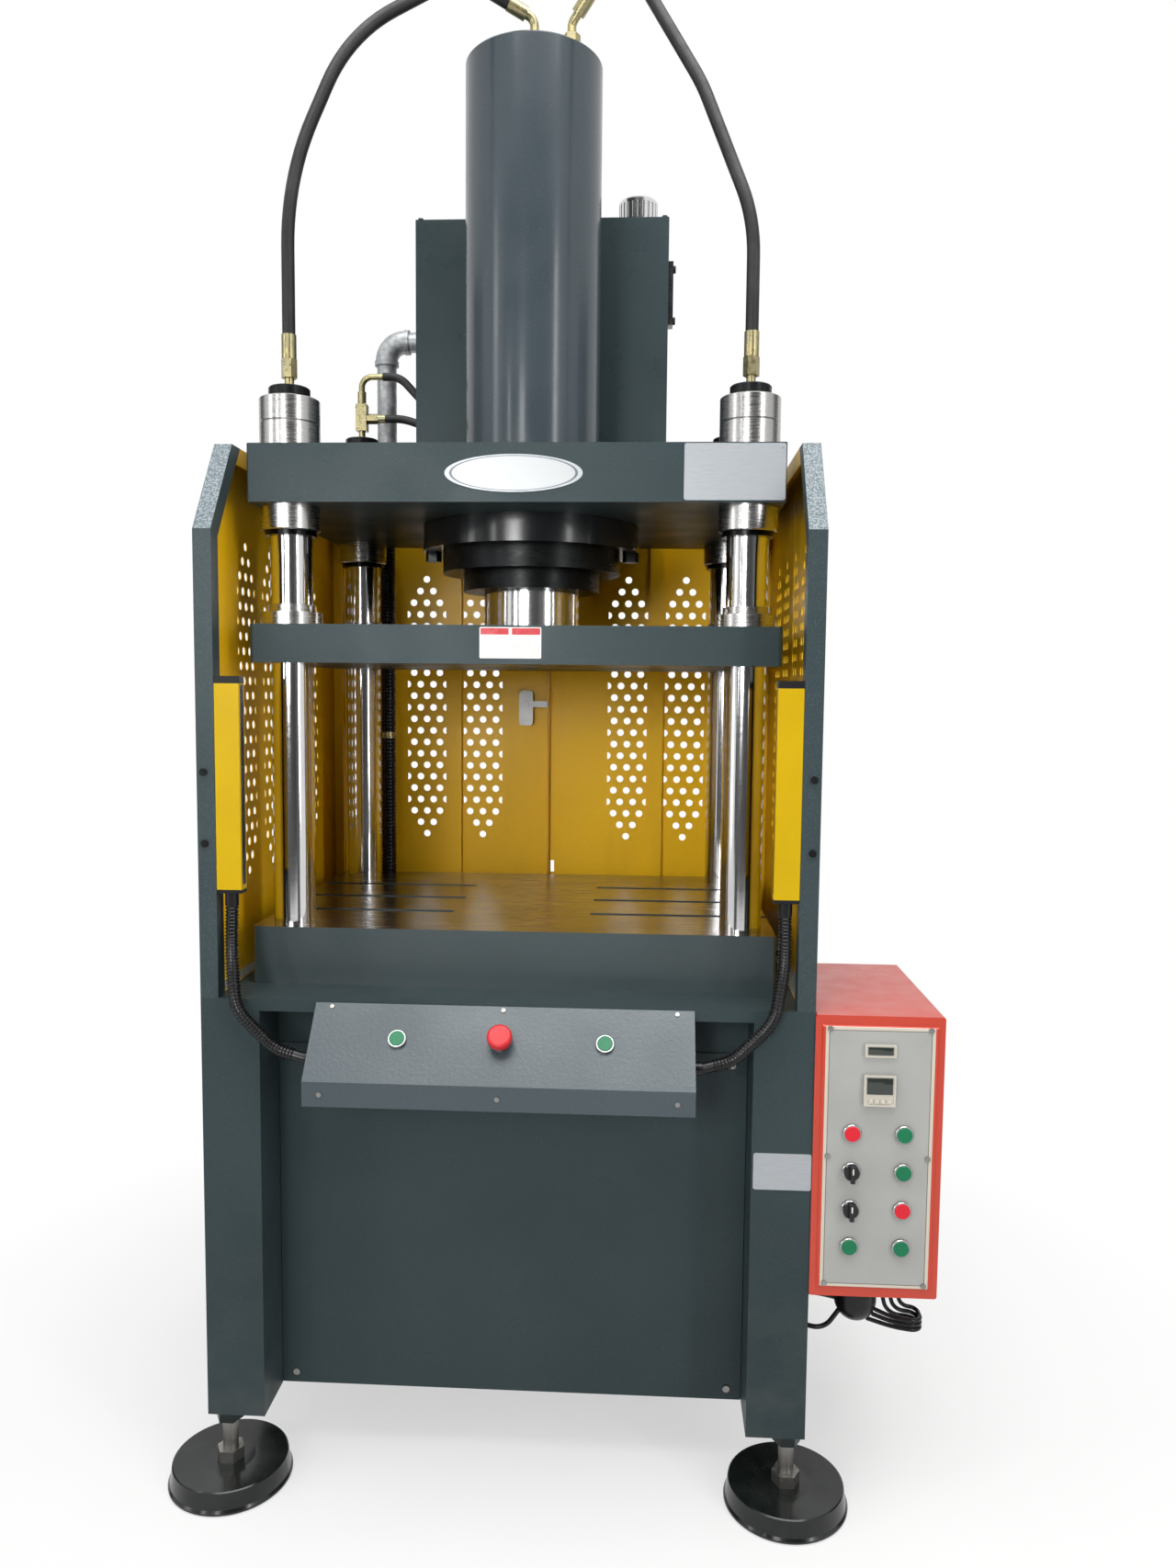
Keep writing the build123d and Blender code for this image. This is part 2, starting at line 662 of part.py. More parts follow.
# Brace: a small three-cornered lug at the foot of the tank
lug = make_face(Polyline((-216.0, crown_top), (-158.0, crown_top), (-176.0, crown_top + 22.0), close=True))
brace = Pos(0, tank_y0, 0) * extrude(Plane.XZ * lug, 8.0)
fittings.append(brace)
keep("hose_fittings", group(fittings))


def field(cx, cz):
    # one perforated field: short rows at the ends, then full rows whose
    # outer holes are cut to half by the field's straight sides
    cuts = []
    for i in range(field_rows):
        z = cz + (i - (field_rows - 1) / 2) * row_pitch
        end = min(i, field_rows - 1 - i)
        if end < 2:
            n = end + 1
        elif end % 2 == 0:
            n = 3
        else:
            n = 4
        for j in range(n):
            x = (j - (n - 1) / 2) * field_pitch
            hole = Pos(cx + x, z) * Circle(hole_d / 2)
            if n == 4 and j in (0, 3):
                side = -1 if j == 0 else 1
                half = Pos(cx + side * (field_half_w - hole_d / 2), z) * Rectangle(hole_d, 2 * hole_d)
                hole = hole & half
            cuts.append(hole)
    return cuts


# Side guards: a front and a rear folded sheet on each side, perforated
seam_y = 0.0
side_fields = (field_gap / 2, field_gap * 3 / 2)
hinge_zs = (door_low + 110.0, (door_low + door_high) / 2, door_high - 110.0)


def knuckle(side, z0, leaf_to):
    barrel = drum(side * hinge_x, hinge_y, z0, hinge_d, knuckle_h)
    leaf = block(side * hinge_x, side * leaf_to, half_d, half_d + 3.0, z0, z0 + knuckle_h)
    return barrel + leaf


def guard(side, rear):
    # the side wall is drawn in the YZ plane, then its edges are folded in
    s = 1 if rear else -1
    edge = s * half_d
    gap = 0.15 * s
    if rear:
        outline = [(gap, base_top), (edge, base_top), (edge, guard_top), (gap, guard_top)]
    else:
        outline = [(gap, base_top), (edge, base_top), (edge, guard_top - guard_slant_z),
                   (edge + guard_slant_y, guard_top), (gap, guard_top)]
    wall = make_face(Polyline(*outline, close=True))
    for fy in side_fields:
        wall -= Sketch() + field(s * fy + guard_field_shift, field_mid_z)
    x_out = side * half_w
    x_in = side * (half_w - sheet)
    shape = extrude(Plane.YZ * wall, sheet)
    shape = Pos(min(x_out, x_in), 0, 0) * shape
    lip_x = side * (half_w - flange_w)
    lip_xi = side * (half_w - flange_w + sheet)
    top_end = edge if rear else edge + guard_slant_y
    edge_top = guard_top if rear else guard_top - guard_slant_z
    shape += block(x_out, lip_x, edge - s * sheet, edge, base_top, edge_top)
    shape += block(lip_x, lip_xi, edge - s * lip_w, edge, base_top, edge_top)
    shape += block(x_out, lip_x, gap, top_end, guard_top - sheet, guard_top)
    shape += block(lip_x, lip_xi, gap, top_end, guard_top - lip_w, guard_top)
    if not rear:
        run = math.hypot(guard_slant_y, guard_slant_z)
        ny = guard_slant_z / run
        nz = -guard_slant_y / run
        a = (edge, guard_top - guard_slant_z)
        b = (edge + guard_slant_y, guard_top)
        skin_pts = [a, b, (b[0] + ny * sheet, b[1] + nz * sheet), (a[0] + ny * sheet, a[1] + nz * sheet)]
        lip_pts = [a, b, (b[0] + ny * lip_w, b[1] + nz * lip_w), (a[0] + ny * lip_w, a[1] + nz * lip_w)]
        shape += prism_x(skin_pts, min(x_out, lip_x), max(x_out, lip_x))
        shape += prism_x(lip_pts, min(lip_x, lip_xi), max(lip_x, lip_xi))
    else:
        for hz in hinge_zs:
            for z0 in (hz - 1.5 * knuckle_h - 0.5, hz + 0.5 * knuckle_h + 0.5):
                shape += knuckle(side, z0, half_w - 4.0)
                shape -= drum(side * hinge_x, hinge_y, z0, pin_d + 0.02, knuckle_h)
    seam = block(x_in, x_in - side * 1.5, gap, s * 22.0, base_top, guard_top - lip_w)
    shape += seam
    foot = block(x_in, side * (half_w - 24.0), gap + s * 30.0, edge - s * 40.0, base_top, base_top + sheet)
    shape += foot
    return shape


keep("side_guard_left_front", guard(-1, False))
keep("side_guard_left_rear", guard(-1, True))
keep("side_guard_right_front", guard(1, False))
keep("side_guard_right_rear", guard(1, True))

# Rear doors: folded perforated sheets with a stiffening channel each
door_in = door_gap / 2
door_out = half_w - flange_w - 2.0
fold = 18.0
door_fields = (167.0, 298.0)
channel_mid = sum(door_fields) / 2
channel_w = 34.0
channel_h = 11.0


def door(side):
    face = make_face(Polyline((side * door_in, door_low), (side * door_out, door_low),
                              (side * door_out, door_high), (side * door_in, door_high), close=True))
    for fx in door_fields:
        face -= Sketch() + field(side * fx + door_field_shift, field_mid_z)
    shape = Pos(0, half_d, 0) * extrude(Plane.XZ * face, sheet)
    y1 = half_d
    y0 = half_d - fold
    shape += block(side * door_in, side * (door_in + sheet), y0, y1, door_low, door_high)
    shape += block(side * (door_out - sheet), side * door_out, y0, y1, door_low, door_high)
    shape += block(side * door_in, side * door_out, y0, y1, door_low, door_low + sheet)
    shape += block(side * door_in, side * door_out, y0, y1, door_high - sheet, door_high)
    ch0 = side * channel_mid + door_field_shift - channel_w / 2
    ch1 = side * channel_mid + door_field_shift + channel_w / 2
    ch = block(ch0, ch1, y1 - sheet - channel_h, y1 - sheet, door_low + 20.0, door_high - 20.0)
    ch -= block(ch0 + 1.5, ch1 - 1.5, y1 - sheet - channel_h + 1.5, y1 - sheet, door_low + 20.0, door_high - 20.0)
    shape += ch
    for hz in hinge_zs:
        z0 = hz - knuckle_h / 2
        shape += knuckle(side, z0, door_out - 22.0)
        shape -= drum(side * hinge_x, hinge_y, z0, pin_d + 2 * button_fit, knuckle_h)
    return shape


lock_x = -51.0
lock_z = base_top + 480.0
lock_w = 32.0
left_door = door(-1)
left_door -= Pos(lock_x, half_d, lock_z) * Rot(90, 0, 0) * Cylinder(11.0, 10.0)
keep("rear_door_left", left_door)
right_door = door(1)
bolt_slot = block(door_in + sheet + 4.0, door_in + sheet + 12.0, half_d - sheet, half_d,
                  base_top + 90.0, base_top + 117.0)
right_door -= bolt_slot
keep("rear_door_right", right_door)
pins = []
for side in (-1, 1):
    for hz in hinge_zs:
        pins.append(drum(side * hinge_x, hinge_y, hz - 1.5 * knuckle_h - 0.5, pin_d, 3 * knuckle_h + 1.0))

# Cam lock: housing on the left door, turning spindle with a tongue
lock_y1 = half_d - sheet
lock_y0 = lock_y1 - 18.0
housing = block(lock_x - lock_w / 2, lock_x + lock_w / 2, lock_y0, lock_y1, lock_z - 49.0, lock_z + 31.0)
housing = fillet(housing.edges().filter_by(Axis.Y), 9.0)
housing += Pos(lock_x, half_d + 4.0, lock_z) * Rot(90, 0, 0) * Cylinder(14.0, 4.0, align=(MID, MID, LOW))
housing += Pos(lock_x, half_d, lock_z) * Rot(90, 0, 0) * Cylinder(11.0, 2.0, align=(MID, MID, LOW))
housing -= Pos(lock_x, half_d, lock_z) * Rot(90, 0, 0) * Cylinder(7.0 + button_fit, 60.0)
keep("door_lock_body", housing)
spindle = Pos(lock_x, half_d + 8.0, lock_z) * Rot(90, 0, 0) * Cylinder(7.0, 8.0 + fold + 8.0,
                                                                       align=(MID, MID, LOW))
tongue_y1 = half_d - fold - 2.5
tongue = block(lock_x - 8.0, -1.0, tongue_y1 - 3.0, tongue_y1, lock_z - 7.0, lock_z + 7.0)
spindle += tongue
spindle += block(lock_x - 3.0, lock_x + 3.0, half_d + 4.2, half_d + 16.0, lock_z - 22.0, lock_z + 22.0)
keep("door_lock_tongue", spindle)

# Light curtains: upright housings on the front folds, with a window strip
housings = []
windows = []
screws = []
for side in (-1, 1):
    xo = side * (half_w - flange_w)
    xi = side * (half_w - flange_w - curtain_w)
    y0 = front_y
    y1 = front_y + curtain_d
    shell = block(xo, xi, y0, y1, curtain_low, curtain_low + curtain_h)
    shell = fillet(shell.edges().filter_by(Axis.Z), 2.0)
    shell -= block(xi, xi + side * 2.0, y0 + 5.0, y1 - 5.0, curtain_low + 14.0, curtain_low + curtain_h - 14.0)
    housings.append(shell)
    windows.append(block(xi, xi + side * 2.0, y0 + 5.0, y1 - 5.0, curtain_low + 14.0,
                         curtain_low + curtain_h - 14.0))
    for z in (curtain_low + 82.0, curtain_low + 199.0):
        cx = side * (half_w - 12.0)
        screw = Pos(cx, front_y, z) * Rot(90, 0, 0) * Cylinder(6.0, 4.0, align=(MID, MID, LOW))
        screws.append(screw)
keep("curtain_housings", group(housings))
keep("curtain_windows", group(windows))
curtain_screws = screws

# Ribbed conduits from the light curtains into the sides of the console
conduits = []
glands = []
con_y = front_y + curtain_d / 2
out_y = front_y - 26.0
side_z = console_slope_low + 18.0
for side in (-1, 1):
    cx = side * (half_w - flange_w - curtain_w / 2)
    pts = [(cx, con_y, curtain_low - 22.0), (cx + side * 1.0, con_y - 4.0, curtain_low - 100.0),
           (side * (half_w - 68.0), out_y, base_top - 10.0), (side * (half_w - 132.0), out_y, base_top - 75.0),
           (side * (console_w / 2 + 12.0), out_y, side_z)]
    run, run_len = tube(pts, [160.0, 75.0, 70.0], conduit_d)
    conduits.append(run)
    print("conduit length", round(run_len))
    glands.append(drum(cx, con_y, curtain_low - 22.0, conduit_d + 4.0, 22.0))
    glands.append(Pos(side * (console_w / 2 + 12.0), out_y, side_z) * Rot(0, -90 * side, 0) * Cylinder(
        (conduit_d + 4.0) / 2, 12.0, align=(MID, MID, LOW)))

# Console: a housing under the top sheet and a bent lid with the buttons
slope_y = console_front - console_start
slope_z = console_slope_low - console_top
slope_len = math.hypot(slope_y, slope_z)
n_y = -slope_z / slope_len
n_z = slope_y / slope_len
back_z = base_top - top_sheet


def console_outline(t):
    a0 = (console_start + n_y * t, console_top + n_z * t)
    front = console_front + t
    k0 = (console_start - a0[0]) / slope_y
    k1 = (front - a0[0]) / slope_y
    return [(console_start, a0[1] + slope_z * k0), (front, a0[1] + slope_z * k1), (front, console_low + t * 0),
            (console_back, console_low), (console_back, back_z), (console_start, back_z)]


hw = console_w / 2
lid_prism = prism_x(console_outline(0.0), -hw, hw)
mid_prism = prism_x(console_outline(sheet), -hw, hw)
inner = console_outline(sheet * 2)
inner[0] = (console_start + 4.0, back_z - sheet)
inner[2] = (inner[2][0], console_low + sheet)
inner[3] = (console_back - sheet, console_low + sheet)
inner[4] = (console_back - sheet, back_z - sheet)
inner[5] = (console_start + 6.0, back_z - sheet)
inner_prism = prism_x([inner[1], inner[2], inner[3], inner[4], inner[0]], -hw + sheet, hw - sheet)
lid_sheet = lid_prism - mid_prism
console_housing = mid_prism - inner_prism

slope_mid = Vector(0, console_start, console_top)
slope_dir = Vector(0, slope_y, slope_z).normalized()
slope_out = Vector(0, -n_y, -n_z).normalized()


def on_slope(x, along):
    origin = slope_mid + slope_dir * along + Vector(x, 0, 0)
    return Plane(origin=origin, x_dir=(1, 0, 0), z_dir=slope_out)


collar_h2 = 6.0
seat_floor = 1.0
button_travel = 4.0
shank_d = 22.0
for bx in (-green_x, 0.0, green_x):
    hole = on_slope(bx, button_along) * Cylinder(shank_d / 2 + 0.3, 80.0)
    lid_sheet -= hole
    console_housing -= hole
keep("console_housing", console_housing)
lid_screws = []
for sx in (-282.0, 0.0, 282.0):
    lid_screws.append(on_slope(sx, 7.0) * Cylinder(3.5, 2.0, align=(MID, MID, LOW)))
    lid_screws.append(Pos(sx, console_front, console_slope_low - 20.0) * Rot(90, 0, 0) * Cylinder(
        4.0, 2.0, align=(MID, MID, LOW)))
keep("console_lid", lid_sheet)


def button_seat(plane):
    seat = Cylinder(button_d / 2, collar_h2, align=(MID, MID, LOW))
    seat = soften(seat, seat.edges().filter_by(GeomType.CIRCLE).sort_by(Axis.Z)[-1], 1.0)
    seat += Pos(0, 0, -22.0) * Cylinder(shank_d / 2, 22.0, align=(MID, MID, LOW))
    seat -= Pos(0, 0, seat_floor) * Cylinder(cap_button_d / 2 + button_fit, collar_h2, align=(MID, MID, LOW))
    seat -= Pos(0, 0, -19.0) * Cylinder(plunger_d / 2 + button_fit, 30.0, align=(MID, MID, LOW))
    return plane * seat


def button_cap(plane):
    disc_z = seat_floor + button_travel + 0.1
    cap = Pos(0, 0, disc_z) * Cylinder(cap_button_d / 2, collar_h2 + 1.5 - disc_z, align=(MID, MID, LOW))
    cap = soften(cap, cap.edges().filter_by(GeomType.CIRCLE).sort_by(Axis.Z)[-1], 0.7)
    cap += Pos(0, 0, -12.0) * Cylinder(plunger_d / 2, disc_z + 12.0, align=(MID, MID, LOW))
    return plane * cap


def stop_cap(plane):
    cap = Pos(0, 0, -12.0) * Cylinder(plunger_d / 2, collar_h2 + 24.0, align=(MID, MID, LOW))
    dome = Pos(0, 0, collar_h2 + 9.0) * Cylinder(stop_d / 2, 14.0, align=(MID, MID, LOW))
    dome = fillet(dome.edges().filter_by(GeomType.CIRCLE).sort_by(Axis.Z)[-1], 5.0)
    return plane * (cap + dome)


console_planes = [on_slope(-green_x, button_along), on_slope(0.0, button_along), on_slope(green_x, button_along)]
keep("start_button_left", button_cap(console_planes[0]))
keep("stop_button", stop_cap(console_planes[1]))
keep("start_button_right", button_cap(console_planes[2]))

# Control box: sheet shell on the right side of the base
bx0 = box_x0
bx1 = box_x0 + box_w
by0 = box_y0
by1 = box_y0 + box_d
bz0 = box_top - box_h
bz1 = box_top
shell = block(bx0, bx1, by0, by1, bz0, bz1)
shell = fillet(shell.edges().filter_by(Axis.Y), 4.0)
shell -= block(bx0 + box_wall, bx1 - box_wall, by0, by1 - box_wall, bz0 + box_wall, bz1 - box_wall)
face_in = 9.0
lip_front = block(bx0 + box_wall, bx1 - box_wall, by0, by0 + box_wall, bz0 + box_wall, bz1 - box_wall)
lip_front -= block(box_mid - panel_w / 2 + rim_w, box_mid + panel_w / 2 - rim_w, by0, by0 + box_wall,
                   panel_mid_z - panel_h / 2 + rim_w, panel_mid_z + panel_h / 2 - rim_w)
shell += lip_front
boot_x = box_mid - 17.0
boot_y = box_y0 + 58.0
boot_d = 70.0
shell -= drum(boot_x, boot_y, bz0, boot_d - 20.0, box_wall)
for k in range(3):
    shell -= drum(boot_x + 68.0 - 12.0 * k, boot_y + 14.0, bz0, 9.0, box_wall)
keep("control_box", shell)

# Panel with a raised rim, its screws, and the holes for displays and buttons
panel = block(box_mid - panel_w / 2, box_mid + panel_w / 2, by0 - panel_t, by0,
              panel_mid_z - panel_h / 2, panel_mid_z + panel_h / 2)
front_edges = panel.faces().sort_by(Axis.Y)[0].edges()
panel = chamfer(front_edges, 2.4)
button_rows = []
for i in range(4):
    for k, side in enumerate((-1, 1)):
        button_rows.append((box_mid + side * row_x, row_z0 - i * row_step))
for x, z in button_rows:
    panel -= Pos(x, by0, z) * Rot(90, 0, 0) * Cylinder(shank_d / 2 + 0.3, 20.0)
count_z = box_top - 55.0
timer_z = box_top - 120.0
panel -= block(box_mid - 23.0, box_mid + 23.0, by0 - panel_t, by0, count_z - 9.0, count_z + 9.0)
panel -= block(box_mid - 23.0, box_mid + 23.0, by0 - panel_t, by0, timer_z - 23.0, timer_z + 23.0)
panel_screws = []
for sx in (-80.0, 80.0):
    for sz in (box_top - 21.0, box_top - 232.0, box_top - 445.0):
        head = Pos(box_mid + sx, by0 - panel_t, sz) * Rot(90, 0, 0) * Cylinder(
            4.5, 2.0, align=(MID, MID, LOW))
        panel_screws.append(head)
keep("control_panel", panel)
keep("pins_and_screws", group(pins + cover_screws + lid_screws + panel_screws))
counter = block(box_mid - 25.0, box_mid + 25.0, by0 - panel_t - 3.0, by0 - panel_t, count_z - 10.5,
                count_z + 10.5)
counter += block(box_mid - 22.5, box_mid + 22.5, by0 - panel_t, by0 + 40.0, count_z - 8.5, count_z + 8.5)
timer = block(box_mid - 25.5, box_mid + 25.5, by0 - panel_t - 4.0, by0 - panel_t, timer_z - 25.5,
              timer_z + 25.5)
timer += block(box_mid - 22.5, box_mid + 22.5, by0 - panel_t, by0 + 60.0, timer_z - 22.5, timer_z + 22.5)
keep("counter_and_timer", group([counter, timer]))

# Button seats of the console and of the panel
seats = [button_seat(p) for p in console_planes]
panel_planes = []
for x, z in button_rows:
    panel_planes.append(Plane(origin=(x, by0 - panel_t, z), x_dir=(1, 0, 0), z_dir=(0, -1, 0)))
for p in panel_planes:
    seats.append(button_seat(p))
keep("button_seats", group(seats))


def selector(plane):
    knob = Pos(0, 0, -12.0) * Cylinder(plunger_d / 2, collar_h2 + 14.0, align=(MID, MID, LOW))
    knob += Pos(0, 0, seat_floor + 0.2) * Cylinder(cap_button_d / 2, collar_h2 + 4.0, align=(MID, MID, LOW))
    knob += Pos(0, 0, collar_h2 + 10.0) * Box(7.0, 26.0, 12.0)
    return plane * knob


panel_names = ["button_power_red", "button_return_green", "selector_mode", "button_jog_green",
               "selector_height", "button_halt_red", "button_pump_green", "button_reset_green"]
for name, plane in zip(panel_names, panel_planes):
    if name.startswith("selector"):
        keep(name, selector(plane))
    else:
        keep(name, button_cap(plane))

# Inside the box: mounting plate with contactors, relay block and terminals
gear_back = by1 - box_wall
plate = block(bx0 + 18.0, bx1 - 18.0, gear_back - 12.0, gear_back - 9.0, bz0 + 24.0, bz1 - 24.0)
gear = [plate]
for sx in (bx0 + 40.0, bx1 - 40.0):
    for sz in (bz0 + 50.0, bz1 - 50.0):
        plate_stud = Pos(sx, gear_back, sz) * Rot(90, 0, 0) * Cylinder(5.0, 9.0, align=(MID, MID, LOW))
        gear.append(plate_stud)
for k in range(3):
    gx = bx0 + 26.0 + 52.0 * k
    gear.append(block(gx, gx + 45.0, gear_back - 97.0, gear_back - 12.0, bz1 - 180.0, bz1 - 100.0))
gear.append(block(bx0 + 26.0, bx1 - 30.0, gear_back - 82.0, gear_back - 12.0, bz1 - 300.0, bz1 - 220.0))
gear.append(block(bx0 + 26.0, bx1 - 30.0, gear_back - 57.0, gear_back - 12.0, bz0 + 50.0, bz0 + 95.0))
keep("box_gear", group(gear))

# Rubber boot and cables under the box
boot = drum(boot_x, boot_y, bz0 - 34.0, boot_d, 34.0)
boot += Pos(boot_x, boot_y, bz0 - 34.0) * Sphere(boot_d / 2)
boot -= block(boot_x - boot_d, boot_x + boot_d, boot_y - boot_d, boot_y + boot_d, bz0, bz0 + boot_d)
boot &= block(boot_x - boot_d, boot_x + boot_d, boot_y - boot_d, boot_y + boot_d, bz0 - 66.0, bz0)
cable_d = 8.0
thin_d = 7.0


def loose(points, d):
    # straight runs joined by arcs as large as the shorter neighbour allows
    radii = []
    for i in range(1, len(points) - 1):
        a = Vector(*points[i - 1])
        b = Vector(*points[i])
        c = Vector(*points[i + 1])
        u = b - a
        v = c - b
        turn = math.radians(u.get_angle(v))
        radii.append(0.45 * min(u.length, v.length) / math.tan(turn / 2))
    cable, length = tube(points, radii, d)
    print("cable length", round(length), "radii", [round(r) for r in radii])
    return cable


cables = []
in_x = half_w - 18.0
cables.append(loose([(boot_x - 27.0, boot_y - 8.0, bz0 - 50.0), (boot_x - 52.0, boot_y - 6.0, bz0 - 88.0),
                     (in_x, wire_y - 3.0, wire_z - 26.0)], cable_d))
cables.append(loose([(boot_x - 32.0, boot_y + 4.0, bz0 - 36.0), (boot_x - 62.0, boot_y + 5.0, bz0 - 30.0),
                     (in_x, wire_y - 3.0, wire_z + 28.0)], cable_d))
for k in range(3):
    z = bz0 - 46.0 - 8.0 * k
    far_x = boot_x + 108.0
    back_x = boot_x + 82.0 - 12.0 * k
    reach = math.sqrt(max((boot_d / 2) ** 2 - 12.0 ** 2 - max(bz0 - 34.0 - z, 0.0) ** 2, 0.0))
    cables.append(loose([(boot_x + reach, boot_y - 12.0, z), (boot_x + 62.0, boot_y - 20.0, z - 10.0),
                         (far_x, boot_y - 22.0, z - 14.0), (far_x, boot_y + 22.0, z - 14.0),
                         (back_x, boot_y + 22.0, z - 10.0), (back_x - 14.0, boot_y + 14.0, bz0 - 16.0),
                         (back_x - 14.0, boot_y + 14.0, bz0 + 12.0)], thin_d))
keep("cables_and_conduits", group(conduits + cables))
keep("glands_and_screws", group([boot] + glands + curtain_screws))

# Power pack on the floor pan: motor, bell housing, pump, valve block and pipes
motor_x = 160.0
motor_d = 200.0
motor_l = 300.0
motor_low = pump_z - motor_d / 2
motor = Pos(motor_x, pump_y, pump_z) * Rot(0, 90, 0) * Cylinder(motor_d / 2, motor_l)
motor += Pos(motor_x + motor_l / 2 - 25.0, pump_y, pump_z) * Rot(0, 90, 0) * Cylinder(motor_d / 2 + 5.0, 50.0)
for k in range(14):
    a = math.radians(10 + 160 * k / 13)
    fin_r = motor_d / 2 + 4.0
    fin = Pos(motor_x - 20.0, pump_y, pump_z) * Rot(math.degrees(a), 0, 0) * Pos(0, fin_r, 0) * Box(
        motor_l - 90.0, 12.0, 3.0)
    motor += fin
motor += block(motor_x - 120.0, motor_x + 90.0, pump_y - 80.0, pump_y + 80.0, pan_top, motor_low + 30.0)
motor += block(motor_x - 40.0, motor_x + 50.0, pump_y - 40.0, pump_y + 40.0, pump_z + motor_d / 2 - 6.0,
               pump_z + motor_d / 2 + 50.0)
keep("pump_motor", motor)
bell_x0 = motor_x - motor_l / 2 - 110.0
bell_x1 = motor_x - motor_l / 2
bell = Pos((bell_x0 + bell_x1) / 2, pump_y, pump_z) * Rot(0, 90, 0) * Cylinder(80.0, bell_x1 - bell_x0)
bell -= Pos((bell_x0 + bell_x1) / 2, pump_y, pump_z) * Rot(0, 90, 0) * Cylinder(62.0, bell_x1 - bell_x0 - 24.0)
bell += block(bell_x0 + 30.0, bell_x1 - 30.0, pump_y - 60.0, pump_y + 60.0, pan_top, pump_z - 70.0)
pump = block(pump_x0, bell_x0, pump_y - 48.0, pump_y + 48.0, pump_z - 48.0, pump_z + 48.0)
pump = fillet(pump.edges().filter_by(Axis.X), 10.0)
valve_y0 = front_y + 143.0
valve_y1 = valve_y0 + 90.0
valve_z0 = leg_h + 118.0
valve_z1 = valve_z0 + 230.0
valve_x = 80.0
valve = block(-valve_x, valve_x, valve_y0, valve_y1, valve_z0, valve_z1)
stand = block(-60.0, 60.0, valve_y0 + 8.0, valve_y1 - 8.0, pan_top, valve_z0)
valve_parts = [valve, stand]
for vx in (-40.0, 40.0):
    valve_parts.append(block(vx - 30.0, vx + 30.0, valve_y0 + 5.0, valve_y1 - 5.0, valve_z1, valve_z1 + 45.0))
    coil = Pos(vx, (valve_y0 + valve_y1) / 2, valve_z1 + 45.0) * Cylinder(24.0, 60.0, align=(MID, MID, LOW))
    valve_parts.append(coil)
line_d = 16.0
line_z = valve_z0 + 150.0
rear_z = valve_z0 + 205.0
low_z = valve_z0 + 50.0
lines = []
for side in (-1, 1):
    line, line_len = tube([(side * col_x, -col_y, column_low), (side * col_x, -col_y, line_z),
                           (side * valve_x, -col_y, line_z)], [45.0], line_d, line_d - 5.0)
    lines.append(line)
line, line_len = tube([(-col_x, col_y, column_low), (-col_x, col_y, rear_z), (-40.0, col_y, rear_z),
                       (-40.0, valve_y1, rear_z)], [45.0, 45.0], line_d, line_d - 5.0)
lines.append(line)
line, line_len = tube([(-150.0, pump_y - 48.0, low_z), (-150.0, -50.0, low_z), (-55.0, -50.0, low_z),
                       (-55.0, valve_y1, low_z)], [35.0, 35.0], line_d, line_d - 5.0)
lines.append(line)
keep("pump_and_valves", group([bell, pump] + valve_parts + lines))

# Blank rating plates with their rivets: crown front and right leg
plates = []
plate_t = 1.0
crown_front = -plate_d / 2
oval_w = 230.0
oval_h = 62.0
oval_z = crown_top - 50.0
oval = Plane.XZ * Ellipse(oval_w / 2, oval_h / 2)
plates.append(Pos(0, crown_front, oval_z) * extrude(oval, plate_t))
for rx in (-oval_w / 2 + 10.0, oval_w / 2 - 10.0):
    plates.append(Pos(rx, crown_front - plate_t, oval_z) * Rot(90, 0, 0) * Cylinder(
        2.5, 1.2, align=(MID, MID, LOW)))
plate_specs = [(plate_w / 2 - 85.0, crown_front, crown_top - 48.0, 166.0, 92.0),
               (half_w - 48.0, front_y, base_top - 266.0, 94.0, 61.0)]
for cx, fy, cz, w, h in plate_specs:
    flat = block(cx - w / 2, cx + w / 2, fy - plate_t, fy, cz - h / 2, cz + h / 2)
    plates.append(fillet(flat.edges().filter_by(Axis.Y), 4.0))
    for rx in (cx - w / 2 + 6.0, cx + w / 2 - 6.0):
        for rz in (cz - h / 2 + 6.0, cz + h / 2 - 6.0):
            plates.append(Pos(rx, fy - plate_t, rz) * Rot(90, 0, 0) * Cylinder(
                2.0, 1.0, align=(MID, MID, LOW)))
keep("blank_plates", group(plates))
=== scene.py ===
# %% [markdown]
# # A four-column hydraulic press
# The iron work of this press is finished already: the frame arrives as one
# mesh for each piece, at its real size in metres. This lesson gives every
# piece its paint, plating or rubber, adds the small things that a drawing
# leaves out, and sets up a calm studio around the machine.

# %% Load the press
import json
import math

import bpy
from mathutils import Matrix, Vector

